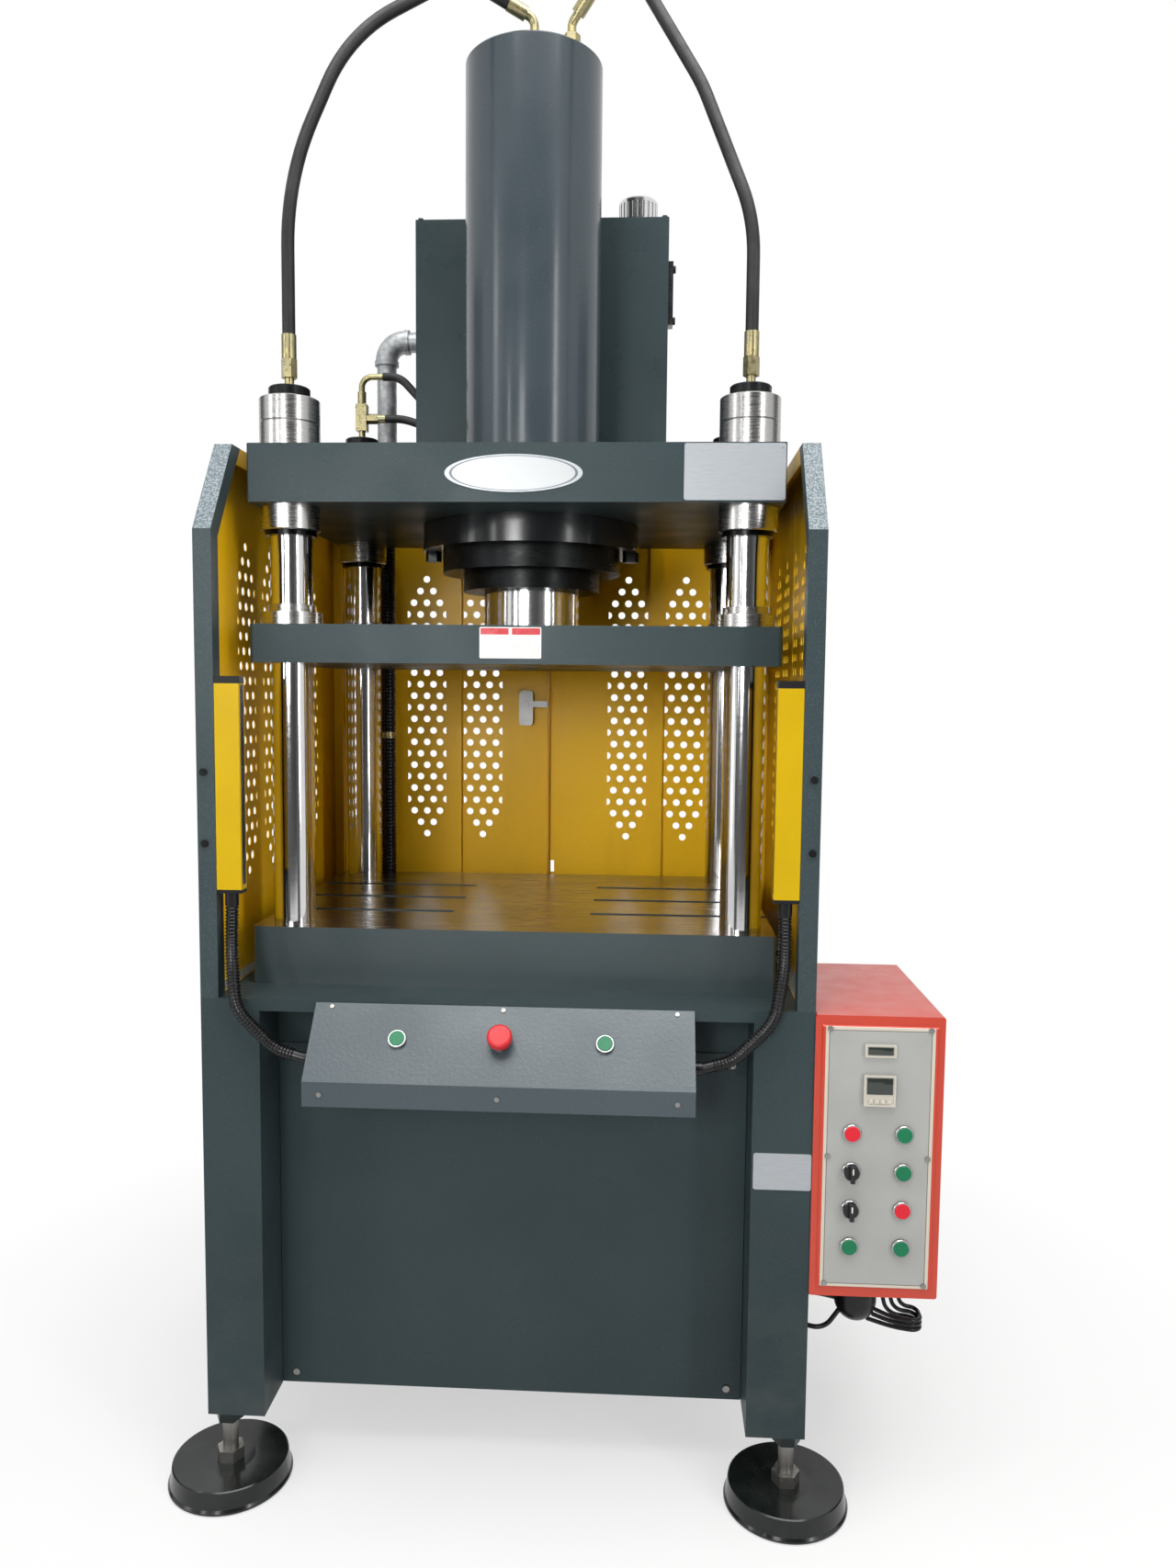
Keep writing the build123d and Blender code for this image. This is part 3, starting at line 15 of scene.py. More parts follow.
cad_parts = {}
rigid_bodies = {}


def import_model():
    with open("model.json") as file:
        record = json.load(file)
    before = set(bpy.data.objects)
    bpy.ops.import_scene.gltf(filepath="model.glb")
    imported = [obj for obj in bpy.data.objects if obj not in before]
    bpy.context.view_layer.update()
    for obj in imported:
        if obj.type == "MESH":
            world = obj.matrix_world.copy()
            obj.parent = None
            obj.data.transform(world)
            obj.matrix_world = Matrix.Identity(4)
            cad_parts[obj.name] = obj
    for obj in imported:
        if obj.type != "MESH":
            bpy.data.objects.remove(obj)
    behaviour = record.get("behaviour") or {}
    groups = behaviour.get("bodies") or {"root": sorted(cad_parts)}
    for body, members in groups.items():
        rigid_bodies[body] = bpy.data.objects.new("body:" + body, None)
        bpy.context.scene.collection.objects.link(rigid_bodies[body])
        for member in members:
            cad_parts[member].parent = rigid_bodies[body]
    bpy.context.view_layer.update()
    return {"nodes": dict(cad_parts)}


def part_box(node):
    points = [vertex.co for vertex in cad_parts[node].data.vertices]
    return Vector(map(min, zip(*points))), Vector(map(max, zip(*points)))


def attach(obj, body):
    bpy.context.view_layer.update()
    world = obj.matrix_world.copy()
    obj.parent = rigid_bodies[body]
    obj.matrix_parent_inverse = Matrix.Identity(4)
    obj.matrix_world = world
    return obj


for left_over in list(bpy.data.objects):
    bpy.data.objects.remove(left_over)
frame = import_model()
nodes = frame["nodes"]
AXIS = (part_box("slide_plate")[0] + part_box("slide_plate")[1]) / 2
AXIS.z = 0.0
print("pieces that arrived:", len(nodes))
print("the cylinder stands at", [round(v, 4) for v in AXIS])

# %% [markdown]
# ## Tools for patterns
# A finish is a small net of nodes. Almost all of them start with a point on
# the piece and a cloud of noise there, so those steps become helpers. Object
# coordinates are used throughout: the pattern then stays where it is when a
# door swings or the slide comes down, and no picture file is needed. A name
# for each step keeps the finishes below short enough to read.

# %% Helpers for a finish
def link(tree, out, into):
    tree.links.new(out, into)


def point(tree, stretch=(1, 1, 1)):
    where = tree.nodes.new("ShaderNodeTexCoord")
    turn = tree.nodes.new("ShaderNodeMapping")
    turn.inputs["Scale"].default_value = stretch
    link(tree, where.outputs["Object"], turn.inputs["Vector"])
    return turn.outputs["Vector"]


def cloud(tree, scale, detail=3.0, stretch=(1, 1, 1)):
    noise = tree.nodes.new("ShaderNodeTexNoise")
    noise.inputs["Scale"].default_value = scale
    noise.inputs["Detail"].default_value = detail
    link(tree, point(tree, stretch), noise.inputs["Vector"])
    return noise.outputs["Fac"]


def spread(tree, value, low, high, first, last):
    fit = tree.nodes.new("ShaderNodeMapRange")
    for socket, number in zip(("From Min", "From Max", "To Min", "To Max"), (low, high, first, last)):
        fit.inputs[socket].default_value = number
    link(tree, value, fit.inputs["Value"])
    return fit.outputs["Result"]


def calc(tree, kind, a, b=None):
    node = tree.nodes.new("ShaderNodeMath")
    node.operation = kind
    for socket, value in zip(node.inputs, (a, b)):
        if isinstance(value, (int, float)):
            socket.default_value = value
        elif value is not None:
            link(tree, value, socket)
    return node.outputs["Value"]


def mix(tree, share, first, second):
    node = tree.nodes.new("ShaderNodeMix")
    node.data_type = "RGBA"
    link(tree, share, node.inputs["Factor"])
    for socket, value in ((node.inputs[6], first), (node.inputs[7], second)):
        if isinstance(value, tuple):
            socket.default_value = (*value, 1)
        else:
            link(tree, value, socket)
    return node.outputs[2]


def bumps(tree, height, strength, deep=0.001, under=None):
    node = tree.nodes.new("ShaderNodeBump")
    node.inputs["Strength"].default_value = strength
    node.inputs["Distance"].default_value = deep
    link(tree, height, node.inputs["Height"])
    if under is not None:
        link(tree, under, node.inputs["Normal"])
    return node.outputs["Normal"]


def part_of(tree, axis, normal=False):
    where = tree.nodes.new("ShaderNodeTexCoord")
    split = tree.nodes.new("ShaderNodeSeparateXYZ")
    link(tree, where.outputs["Normal" if normal else "Object"], split.inputs["Vector"])
    return split.outputs[axis]


def over(tree, axis, limit, normal=False):
    return calc(tree, "GREATER_THAN", part_of(tree, axis, normal), limit)


def under(tree, axis, limit, normal=False):
    return calc(tree, "LESS_THAN", part_of(tree, axis, normal), limit)


BLACK = (0.012, 0.012, 0.013)


def patches(tree, scale, detail=3.0, low=0.35, high=0.7):
    return spread(tree, cloud(tree, scale, detail), low, high, 0.0, 1.0)


def put(tree, shader, socket, out):
    link(tree, out, shader.inputs[socket])


def blank(name, metal=0.0, coat=0.0, shine=0.5):
    finish = bpy.data.materials.new(name)
    finish.use_nodes = True
    shader = finish.node_tree.nodes["Principled BSDF"]
    shader.inputs["Metallic"].default_value = metal
    shader.inputs["Coat Weight"].default_value = coat
    shader.inputs["Coat Roughness"].default_value = 0.12
    shader.inputs["Specular IOR Level"].default_value = shine
    return finish, finish.node_tree, shader


def wear(node_names, finish):
    for node_name in node_names:
        mesh = nodes[node_name].data
        if len(mesh.materials):
            mesh.materials[0] = finish
        else:
            mesh.materials.append(finish)


print("helpers are ready")

# %% [markdown]
# ## Slate machine paint
# The frame is sprayed in a dark blue grey with a fine hammered skin. The skin
# could be modelled, but dimples half a millimetre deep would need millions of
# faces, so they are a bump: two clouds of noise, a fine and a coarse one. The
# colour drifts a little over half a metre, and the gloss is uneven, because
# no sprayed coat is quite level.

# %% Slate paint
SLATE = (0.034, 0.050, 0.054)
SLATE_DEEP = (0.026, 0.039, 0.042)
SPECK_SIZE = 0.6
COARSE_SIZE = 0.28


def paint_skin(tree, shader, colour, deep, rough=(0.30, 0.46), grain=900.0, lift=0.16):
    tone = mix(tree, patches(tree, 2.2, 4.0, 0.35, 0.68), colour, deep)
    specks = spread(tree, cloud(tree, grain * SPECK_SIZE, 2.0), 0.62, 0.72, 0.0, 0.22)
    tone = mix(tree, specks, tone, tuple(min(1.0, c * 2.2 + 0.03) for c in colour))
    put(tree, shader, "Base Color", tone)
    put(tree, shader, "Roughness", spread(tree, cloud(tree, 9.0, 5.0), 0.3, 0.7, *rough))
    fine = bumps(tree, cloud(tree, grain, 2.0), lift, 0.0006)
    coarse = cloud(tree, grain * COARSE_SIZE, 2.0)
    put(tree, shader, "Normal", bumps(tree, coarse, lift * 0.7, 0.0012, fine))
    return tone


def paint(name, colour, deep, **how):
    finish, tree, shader = blank(name, coat=how.pop("coat", 0.0), shine=how.pop("shine", 0.15))
    paint_skin(tree, shader, colour, deep, **how)
    return finish


slate = paint("slate_paint", SLATE, SLATE_DEEP)
wear(["crown_plate", "slide_plate", "tank_lid"], slate)
sheet_paint = paint("slate_paint_sheet", SLATE, SLATE_DEEP, rough=(0.26, 0.42), lift=0.12)
wear(["front_cover", "oil_tank"], sheet_paint)
print("slate paint on the plates and sheets")

# %% [markdown]
# ## The base, with dust near the floor
# The base is the same paint, but a workshop floor sends up dust. A second
# colour grows towards the floor and breaks up in patches, which tells the eye
# where the ground is.

# %% Base and console paint
DUST = (0.09, 0.09, 0.085)
DUST_FROM = 0.12
DUST_TO = 0.55


def dusty_paint(name, colour, deep, **how):
    finish, tree, shader = blank(name, shine=0.12)
    tone = paint_skin(tree, shader, colour, deep, **how)
    fade = spread(tree, part_of(tree, "Z"), DUST_FROM, DUST_TO, 0.32, 0.0)
    settled = calc(tree, "MULTIPLY", fade, patches(tree, 14.0, 6.0, 0.4))
    put(tree, shader, "Base Color", mix(tree, settled, tone, DUST))
    return finish


wear(["base_frame"], dusty_paint("slate_paint_base", SLATE, SLATE_DEEP, rough=(0.36, 0.5)))
console_paint = paint("slate_paint_console", (0.038, 0.056, 0.066), (0.031, 0.047, 0.056),
                      grain=620.0, lift=0.3, rough=(0.3, 0.42), shine=0.65)
wear(["console_housing", "console_lid"], console_paint)
print("base and console painted")

# %% [markdown]
# ## Cylinder: smooth paint above, blackened steel below
# The barrel is turned, so its paint lies smoother than on the plates, and its
# flange under the crown is black. One piece with two finishes needs no second
# mesh: the height of the point decides which colour it gets.

# %% Cylinder, gland and blackened steel
CROWN_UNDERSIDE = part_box("crown_plate")[0].z
barrel, tree, shader = blank("cylinder_paint", coat=0.2, shine=0.3)
tone = paint_skin(tree, shader, (0.046, 0.060, 0.070), (0.034, 0.046, 0.055),
                  rough=(0.18, 0.28), grain=700.0, lift=0.06)
below = under(tree, "Z", CROWN_UNDERSIDE + 0.0005)
put(tree, shader, "Base Color", mix(tree, below, tone, (0.008, 0.009, 0.010)))
wear(["cylinder_body"], barrel)


def blackened(name, rough=(0.22, 0.42)):
    finish, tree, shader = blank(name, metal=0.35, shine=0.15)
    smear = mix(tree, patches(tree, 18.0, 5.0), (0.005, 0.006, 0.006), (0.014, 0.015, 0.016))
    put(tree, shader, "Base Color", smear)
    rings = cloud(tree, 60.0, 4.0, (1, 1, 12))
    put(tree, shader, "Roughness", spread(tree, rings, 0.3, 0.7, *rough))
    put(tree, shader, "Normal", bumps(tree, cloud(tree, 260.0, 3.0, (1, 1, 6)), 0.1, 0.0004))
    return finish


wear(["cylinder_gland", "flange_bolts", "column_caps"], blackened("blackened_steel"))
print("cylinder painted down to", round(CROWN_UNDERSIDE, 3))

# %% [markdown]
# ## Guards: yellow inside, slate outside
# The guards are sprayed slate on the outside and signal yellow inside. The
# sheet is one shell with its two faces 2 mm apart, so position can't tell
# them apart, but the way that a face looks can. The normal in object
# coordinates says which side a face belongs to, and it stays true when a
# door is open. A band along each front edge is slate on both sides. On the
# side guards the outer faces that look up, such as the slanted stretch at
# the top, are painted lighter in coarse specks: a painted sheen of the
# light from above.

# %% Guard and door paint
YELLOW = (0.92, 0.54, 0.008)
YELLOW_DEEP = (0.82, 0.46, 0.006)
SLANT_RUN, SLANT_HIGH = 0.100, 0.153
SLANT_LONG = math.hypot(SLANT_RUN, SLANT_HIGH)
BAND = 0.032


def edge_band(tree):
    front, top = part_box("side_guard_left_front")[0].y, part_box("side_guard_left_front")[1].z
    depth = calc(tree, "SUBTRACT", part_of(tree, "Y"), front)
    height = calc(tree, "SUBTRACT", part_of(tree, "Z"), top - SLANT_HIGH)
    from_front = calc(tree, "MULTIPLY", depth, SLANT_HIGH / SLANT_LONG)
    from_below = calc(tree, "MULTIPLY", height, SLANT_RUN / SLANT_LONG)
    slanted = calc(tree, "SUBTRACT", from_front, from_below)
    return calc(tree, "LESS_THAN", calc(tree, "MINIMUM", depth, slanted), BAND)


def guard_paint(name, outward, front=True):
    finish, tree, shader = blank(name, shine=0.2)
    inside = paint_skin(tree, shader, YELLOW, YELLOW_DEEP, rough=(0.28, 0.42), grain=500.0, lift=0.14)
    runs = spread(tree, cloud(tree, 6.0, 5.0, (3, 3, 0.6)), 0.5, 0.8, 0.0, 0.3)
    inside = mix(tree, runs, inside, (0.62, 0.33, 0.01))
    axis, sign = outward
    side = over(tree, axis, 0.5, True) if sign > 0 else under(tree, axis, -0.5, True)
    behind = calc(tree, "MAXIMUM", over(tree, "Y", 0.5, True), over(tree, "Z", 0.9, True))
    side = calc(tree, "MAXIMUM", side, behind)
    fleck = spread(tree, cloud(tree, 420.0, 2.0), 0.55, 0.7, 0.0, 0.4)
    outside = mix(tree, fleck, SLATE, (0.10, 0.12, 0.13))
    if front:
        side = calc(tree, "MAXIMUM", side, edge_band(tree))
        # Outer faces that look up turn lighter in coarse specks: a painted sheen of the light from above.
        painted_sheen_specks = spread(tree, cloud(tree, 330.0, 2.0), 0.42, 0.62, 0.0, 1.0)
        painted_sheen = mix(tree, painted_sheen_specks, (0.085, 0.11, 0.12), (0.24, 0.28, 0.30))
        outside = mix(tree, over(tree, "Z", 0.4, True), outside, painted_sheen)
    put(tree, shader, "Base Color", mix(tree, side, inside, outside))
    return finish


left_paint = guard_paint("guard_paint_left", ("X", -1))
right_paint = guard_paint("guard_paint_right", ("X", 1))
door_paint = guard_paint("door_paint", ("Y", 1), front=False)
wear(["side_guard_left_front", "side_guard_left_rear"], left_paint)
wear(["side_guard_right_front", "side_guard_right_rear"], right_paint)
wear(["rear_door_left", "rear_door_right"], door_paint)
print("guards and doors painted on both sides")

# %% [markdown]
# ## Ground and turned steel
# Bare steel shows how it was cut. A ground column is nearly a mirror with the
# finest lines round it, a nut from the lathe has clear rings, and a milled
# face has straight tracks. All three are noise that is stretched: thin across
# the cut and long along it.

# %% Bare metals
CUT = 90.0
ROUND = (0.4, 0.4, 18.0)


def steel(name, colour, rough, lines, lift, metal=1.0, patch=6.0):
    finish, tree, shader = blank(name, metal=metal)
    dull = tuple(c * 0.8 for c in colour)
    put(tree, shader, "Base Color", mix(tree, patches(tree, patch, 4.0), colour, dull))
    cut = cloud(tree, CUT, 4.0, lines)
    put(tree, shader, "Roughness", spread(tree, cut, 0.25, 0.75, *rough))
    put(tree, shader, "Normal", bumps(tree, cut, lift, 0.0003))
    return finish


chromed = steel("ground_chrome", (0.68, 0.68, 0.685), (0.07, 0.16), (0.3, 0.3, 14.0), 0.03)
wear(["guide_columns"], chromed)
wear(["ram"], steel("chromed_rod", (0.82, 0.82, 0.82), (0.08, 0.18), (0.3, 0.3, 16.0), 0.03))
turned = steel("turned_steel", (0.43, 0.425, 0.415), (0.16, 0.34), ROUND, 0.22)
wear(["column_nuts", "guide_bushes"], turned)

ringed, tree, shader = blank("turned_steel_and_dark_ring", metal=1.0)
RING_HIGH = 0.0081
cut = cloud(tree, CUT, 4.0, ROUND)
bare = mix(tree, cut, (0.50, 0.495, 0.485), (0.41, 0.405, 0.395))
dark_ring = under(tree, "Z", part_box("column_collars")[0].z + RING_HIGH)
put(tree, shader, "Base Color", mix(tree, dark_ring, bare, BLACK))
put(tree, shader, "Roughness", spread(tree, cut, 0.25, 0.75, 0.16, 0.34))
put(tree, shader, "Normal", bumps(tree, cut, 0.2, 0.0003))
wear(["column_collars"], ringed)

wear(["filler_cap"], steel("chromed_cap", (0.8, 0.8, 0.8), (0.08, 0.2), (14.0, 14.0, 0.6), 0.2))
wear(["slide_screws", "pins_and_screws"],
     steel("zinc_steel", (0.34, 0.335, 0.32), (0.25, 0.45), (1.0, 1.0, 20.0), 0.3, patch=40.0))

LEG_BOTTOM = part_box("base_frame")[0].z
LOCK_NUT_HIGH = 0.0245
feet, tree, shader = blank("foot_screw_steel", metal=0.9)
cut = cloud(tree, CUT, 4.0, (1.0, 1.0, 16.0))
bare = mix(tree, cut, (0.34, 0.33, 0.31), (0.24, 0.23, 0.21))
lock_nut = over(tree, "Z", LEG_BOTTOM - LOCK_NUT_HIGH)
put(tree, shader, "Base Color", mix(tree, lock_nut, bare, (0.03, 0.036, 0.038)))
put(tree, shader, "Roughness", spread(tree, cut, 0.3, 0.7, 0.25, 0.45))
put(tree, shader, "Normal", bumps(tree, cut, 0.35, 0.0006))
wear(["levelling_screws"], feet)

wear(["door_lock_body", "door_lock_tongue"],
     steel("die_cast_zinc", (0.33, 0.33, 0.32), (0.35, 0.55), (3.0, 3.0, 3.0), 0.25, patch=30.0))
wear(["button_seats"],
     steel("bright_ring", (0.40, 0.40, 0.40), (0.14, 0.26), (2.0, 2.0, 2.0), 0.05, patch=60.0))
print("bare metals done")

# %% [markdown]
# ## The bed: a milled face on a painted block
# Only the top of the bed is machined. The faces that look up get bare steel
# with long straight tracks from the milling cutter and a few dark stains of
# oil, and the rest stays slate.

# %% Bed
bed, tree, shader = blank("bed_finish", coat=0.1)
tone = paint_skin(tree, shader, SLATE, SLATE_DEEP)
up = over(tree, "Z", 0.5, True)
bare = mix(tree, patches(tree, 7.0, 6.0, 0.42, 0.66), (0.30, 0.29, 0.275), (0.17, 0.162, 0.15))
tracks = cloud(tree, 60.0, 4.0, (0.25, 10.0, 1.0))
bare = mix(tree, spread(tree, tracks, 0.3, 0.8, 0.0, 0.35), bare, (0.5, 0.49, 0.47))
put(tree, shader, "Base Color", mix(tree, up, tone, bare))
put(tree, shader, "Metallic", up)
paint_rough = spread(tree, cloud(tree, 9.0, 5.0), 0.3, 0.7, 0.30, 0.46)
bare_rough = spread(tree, tracks, 0.3, 0.7, 0.14, 0.30)
rough = tree.nodes.new("ShaderNodeMix")
link(tree, up, rough.inputs["Factor"])
link(tree, paint_rough, rough.inputs["A"])
link(tree, bare_rough, rough.inputs["B"])
put(tree, shader, "Roughness", rough.outputs["Result"])
wear(["bed_plate"], bed)
print("bed milled on top")

# %% [markdown]
# ## Zinc, galvanised pipe and rubber
# The hose ends are steel with an olive gold passivated zinc, which is never
# even: it drifts from gold to grey green. The grey pipe was dipped in molten
# zinc, which freezes in crystals, so a Voronoi pattern colours it in flakes.
# Rubber is dark, a little dusty and nearly matt.

# %% Plating and rubber
gold, tree, shader = blank("passivated_zinc", metal=0.9)
hue = mix(tree, patches(tree, 45.0, 4.0), (0.40, 0.34, 0.17), (0.27, 0.26, 0.16))
put(tree, shader, "Base Color", hue)
put(tree, shader, "Roughness", spread(tree, cloud(tree, 120.0, 3.0), 0.3, 0.7, 0.22, 0.42))
put(tree, shader, "Normal", bumps(tree, cloud(tree, 600.0, 2.0), 0.12, 0.0004))
wear(["hose_fittings"], gold)

dipped, tree, shader = blank("galvanised_pipe", metal=0.65)
flakes = tree.nodes.new("ShaderNodeTexVoronoi")
flakes.inputs["Scale"].default_value = 95.0
link(tree, point(tree), flakes.inputs["Vector"])
shade = spread(tree, flakes.outputs["Distance"], 0.0, 0.8, 0.0, 1.0)
put(tree, shader, "Base Color", mix(tree, shade, (0.46, 0.47, 0.475), (0.28, 0.29, 0.30)))
put(tree, shader, "Roughness", spread(tree, cloud(tree, 30.0, 4.0), 0.3, 0.7, 0.35, 0.6))
put(tree, shader, "Normal", bumps(tree, flakes.outputs["Distance"], 0.15, 0.0005))
wear(["filling_pipe"], dipped)


def rubber(name, rough, grain, lift, colour=BLACK, pale=(0.030, 0.030, 0.031), coat=0.0):
    finish, tree, shader = blank(name, coat=coat, shine=0.3)
    put(tree, shader, "Base Color", mix(tree, patches(tree, 16.0, 6.0, 0.45, 0.75), colour, pale))
    put(tree, shader, "Roughness", spread(tree, cloud(tree, 40.0, 3.0), 0.3, 0.7, *rough))
    put(tree, shader, "Normal", bumps(tree, cloud(tree, grain, 3.0), lift, 0.0005))
    return finish


hose_rubber = rubber("hose_rubber", (0.36, 0.52), 700.0, 0.2)
ribbed_plastic = rubber("ribbed_conduit", (0.22, 0.34), 500.0, 0.1, (0.005, 0.005, 0.006), BLACK)
moulding = rubber("foot_moulding", (0.16, 0.3), 240.0, 0.12, (0.004, 0.006, 0.005), (0.014, 0.017, 0.016),
                  coat=0.25)
wear(["pressure_hoses", "tee_hoses"], hose_rubber)
wear(["suction_hose", "cables_and_conduits", "glands_and_screws"], ribbed_plastic)
wear(["foot_pads"], moulding)
print("plating and rubber done")

# %% [markdown]
# ## Light curtains
# Each light curtain is a yellow aluminium bar with a black cap on both ends.
# The caps are thin, so the height of the point gives them their colour.

# %% Light curtains
low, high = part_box("curtain_housings")
curtain, tree, shader = blank("curtain_coat", shine=0.15)
TOP_CAP, FOOT_CAP = 0.012, 0.006
coat_tone = mix(tree, patches(tree, 8.0, low=0.3), (0.50, 0.325, 0.004), (0.45, 0.29, 0.003))
ends = calc(tree, "MAXIMUM", over(tree, "Z", high.z - TOP_CAP), under(tree, "Z", low.z + FOOT_CAP))
put(tree, shader, "Base Color", mix(tree, ends, coat_tone, BLACK))
put(tree, shader, "Roughness", spread(tree, cloud(tree, 60.0), 0.3, 0.7, 0.28, 0.4))
put(tree, shader, "Normal", bumps(tree, cloud(tree, 900.0, 2.0), 0.08, 0.0003))
wear(["curtain_housings"], curtain)
strip = rubber("curtain_window", (0.06, 0.14), 200.0, 0.02, (0.008, 0.006, 0.008), (0.02, 0.012, 0.016),
               coat=0.6)
wear(["curtain_windows"], strip)
print("light curtains done")

# %% [markdown]
# ## Control box and panel
# The box is orange red powder coat, which always has a faint orange peel, and
# its panel is pale grey plastic. The panel's edge is masked and sprayed with
# the box, then comes a cream rim and a fine dark seam. Each band is found by
# how far the point lies from the nearest edge of the panel.

# %% Control box and panel
def powder(name, colour, deep, rough=(0.3, 0.42), peel=260.0, lift=0.12, coat=0.1, shine=0.5):
    finish, tree, shader = blank(name, coat=coat, shine=shine)
    put(tree, shader, "Base Color", mix(tree, patches(tree, 5.0, 4.0), colour, deep))
    put(tree, shader, "Roughness", spread(tree, cloud(tree, 25.0, 4.0), 0.3, 0.7, *rough))
    put(tree, shader, "Normal", bumps(tree, cloud(tree, peel, 2.0), lift, 0.0006))
    return finish


BOX_RED = (0.48, 0.037, 0.013)
wear(["control_box"], powder("orange_red_coat", BOX_RED, (0.43, 0.032, 0.011), coat=0.25))
panel, tree, shader = blank("panel_face", coat=0.1)
low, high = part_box("control_panel")
SIDE_MASK = 0.0045
inward = []
for axis, a, b, masked in (("X", low.x, high.x, SIDE_MASK), ("Z", low.z, high.z, 0.0)):
    off = calc(tree, "ABSOLUTE", calc(tree, "SUBTRACT", part_of(tree, axis), (a + b) / 2))
    inward.append(calc(tree, "SUBTRACT", (b - a) / 2 - masked, off))
inward = calc(tree, "MINIMUM", *inward)
tone = mix(tree, patches(tree, 12.0, 5.0), (0.34, 0.34, 0.325), (0.30, 0.30, 0.285))
for reach, band in ((0.0080, (0.10, 0.095, 0.09)), (0.0068, (0.52, 0.47, 0.39)), (0.0016, BOX_RED)):
    tone = mix(tree, calc(tree, "LESS_THAN", inward, reach), tone, band)
put(tree, shader, "Base Color", tone)
put(tree, shader, "Roughness", spread(tree, cloud(tree, 30.0), 0.3, 0.7, 0.34, 0.5))
put(tree, shader, "Normal", bumps(tree, cloud(tree, 1100.0, 2.0), 0.06, 0.0003))
wear(["control_panel"], panel)
wear(["counter_and_timer"],
     powder("display_case", (0.30, 0.29, 0.26), (0.25, 0.24, 0.22), peel=900.0, lift=0.05))
wear(["box_gear"], powder("switchgear_grey", (0.35, 0.36, 0.36), (0.28, 0.29, 0.30), peel=900.0))
print("control box done")

# %% [markdown]
# ## Buttons
# Push button caps are moulded in clear coated plastic. Their gloss is what
# makes them look like plastic, so they get a coat with little bumps in it and
# a colour that is a touch deeper in patches. The stop button is the same red
# in a matt grade, because hands polish it unevenly.

# %% Buttons
def cap(name, colour, coat=0.1, rough=(0.2, 0.34)):
    deep = tuple(c * 0.8 for c in colour)
    return powder(name, colour, deep, rough=rough, peel=420.0, lift=0.05, coat=coat, shine=0.25)


green = cap("green_cap", (0.003, 0.16, 0.065))
wear(["start_button_left", "start_button_right"], green)
wear(["button_" + task + "_green" for task in ("return", "jog", "pump", "reset")], green)
wear(["button_power_red", "button_halt_red"], cap("red_cap", (0.66, 0.012, 0.026)))
wear(["stop_button"], cap("stop_cap", (0.60, 0.022, 0.028), coat=0.15, rough=(0.3, 0.45)))
wear(["selector_mode", "selector_height"], cap("black_knob", BLACK, coat=0.3))
print("buttons done")

# %% [markdown]
# ## Plates, gauge and the power pack
# The plates on the machine are blank here: brushed aluminium, with lines that
# run along the plate as the brush did, and a darker engraved edge round the
# oval one. Inside that edge the oval is one even colour, a little lighter
# than the brushed face: a painted highlight of a polished field. The motor,
# pump and valves sit behind the front cover, in plain casting paint and grey
# steel.

# %% Plates and power pack
plates, tree, shader = blank("brushed_plate", metal=0.3)
brush = cloud(tree, 90.0, 3.0, (0.5, 1.0, 14.0))
face = mix(tree, spread(tree, brush, 0.3, 0.7, 0.0, 1.0), (0.38, 0.40, 0.42), (0.33, 0.35, 0.37))
OVAL_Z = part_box("crown_plate")[1].z - 0.050
OVAL_HALF_W, OVAL_HALF_H = 0.115, 0.031
LINE_IN, LINE_OUT = 0.80, 0.87
squares = []
for axis, middle, half in (("X", AXIS.x, OVAL_HALF_W), ("Z", OVAL_Z, OVAL_HALF_H)):
    off = calc(tree, "DIVIDE", calc(tree, "SUBTRACT", part_of(tree, axis), middle), half)
    squares.append(calc(tree, "POWER", calc(tree, "ABSOLUTE", off), 2.0))
out = calc(tree, "ADD", *squares)
# Inside the oval: one even, slightly lighter colour, a painted highlight of a polished field.
face = mix(tree, calc(tree, "LESS_THAN", out, LINE_IN), face, (0.37, 0.385, 0.39))
line = calc(tree, "MULTIPLY", calc(tree, "GREATER_THAN", out, LINE_IN),
            calc(tree, "LESS_THAN", out, LINE_OUT))
face = mix(tree, line, face, (0.10, 0.11, 0.13))
put(tree, shader, "Base Color", face)
put(tree, shader, "Roughness", spread(tree, brush, 0.3, 0.7, 0.30, 0.44))
put(tree, shader, "Normal", bumps(tree, brush, 0.08, 0.0003))
wear(["blank_plates"], plates)

gauge, tree, shader = blank("gauge_frame", metal=0.2, coat=0.4)
put(tree, shader, "Base Color", mix(tree, cloud(tree, 60.0), BLACK, (0.035, 0.035, 0.037)))
put(tree, shader, "Roughness", spread(tree, cloud(tree, 60.0), 0.3, 0.7, 0.15, 0.3))
wear(["level_gauge"], gauge)
casting = powder("casting_blue", (0.05, 0.11, 0.17), (0.04, 0.085, 0.13), peel=180.0, lift=0.35)
wear(["pump_motor"], casting)
wear(["pump_and_valves"],
     steel("plain_steel", (0.40, 0.40, 0.39), (0.35, 0.55), (4.0, 4.0, 4.0), 0.2, patch=20.0))
print("plates and power pack done")

# %% [markdown]
# ## Tools for small pieces
# Everything that is added from here on is modelled as by hand: a primitive
# is set down at its size, faces or edges are picked in edit mode by where
# they lie, and an operator shapes them. At the end the piece's place goes
# into its mesh, so that its object sits at the origin like the others.

# %% Helpers for small pieces
def calm():
    if bpy.context.mode != "OBJECT":
        bpy.ops.object.mode_set(mode="OBJECT")
    bpy.ops.object.select_all(action="DESELECT")


def brick(name, low, high):
    calm()
    middle = [(a + b) / 2 for a, b in zip(low, high)]
    bpy.ops.mesh.primitive_cube_add(size=1.0, location=middle)
    made = bpy.context.object
    made.name = name
    made.scale = [b - a for a, b in zip(low, high)]
    bpy.ops.object.transform_apply(location=True, rotation=True, scale=True)
    return made


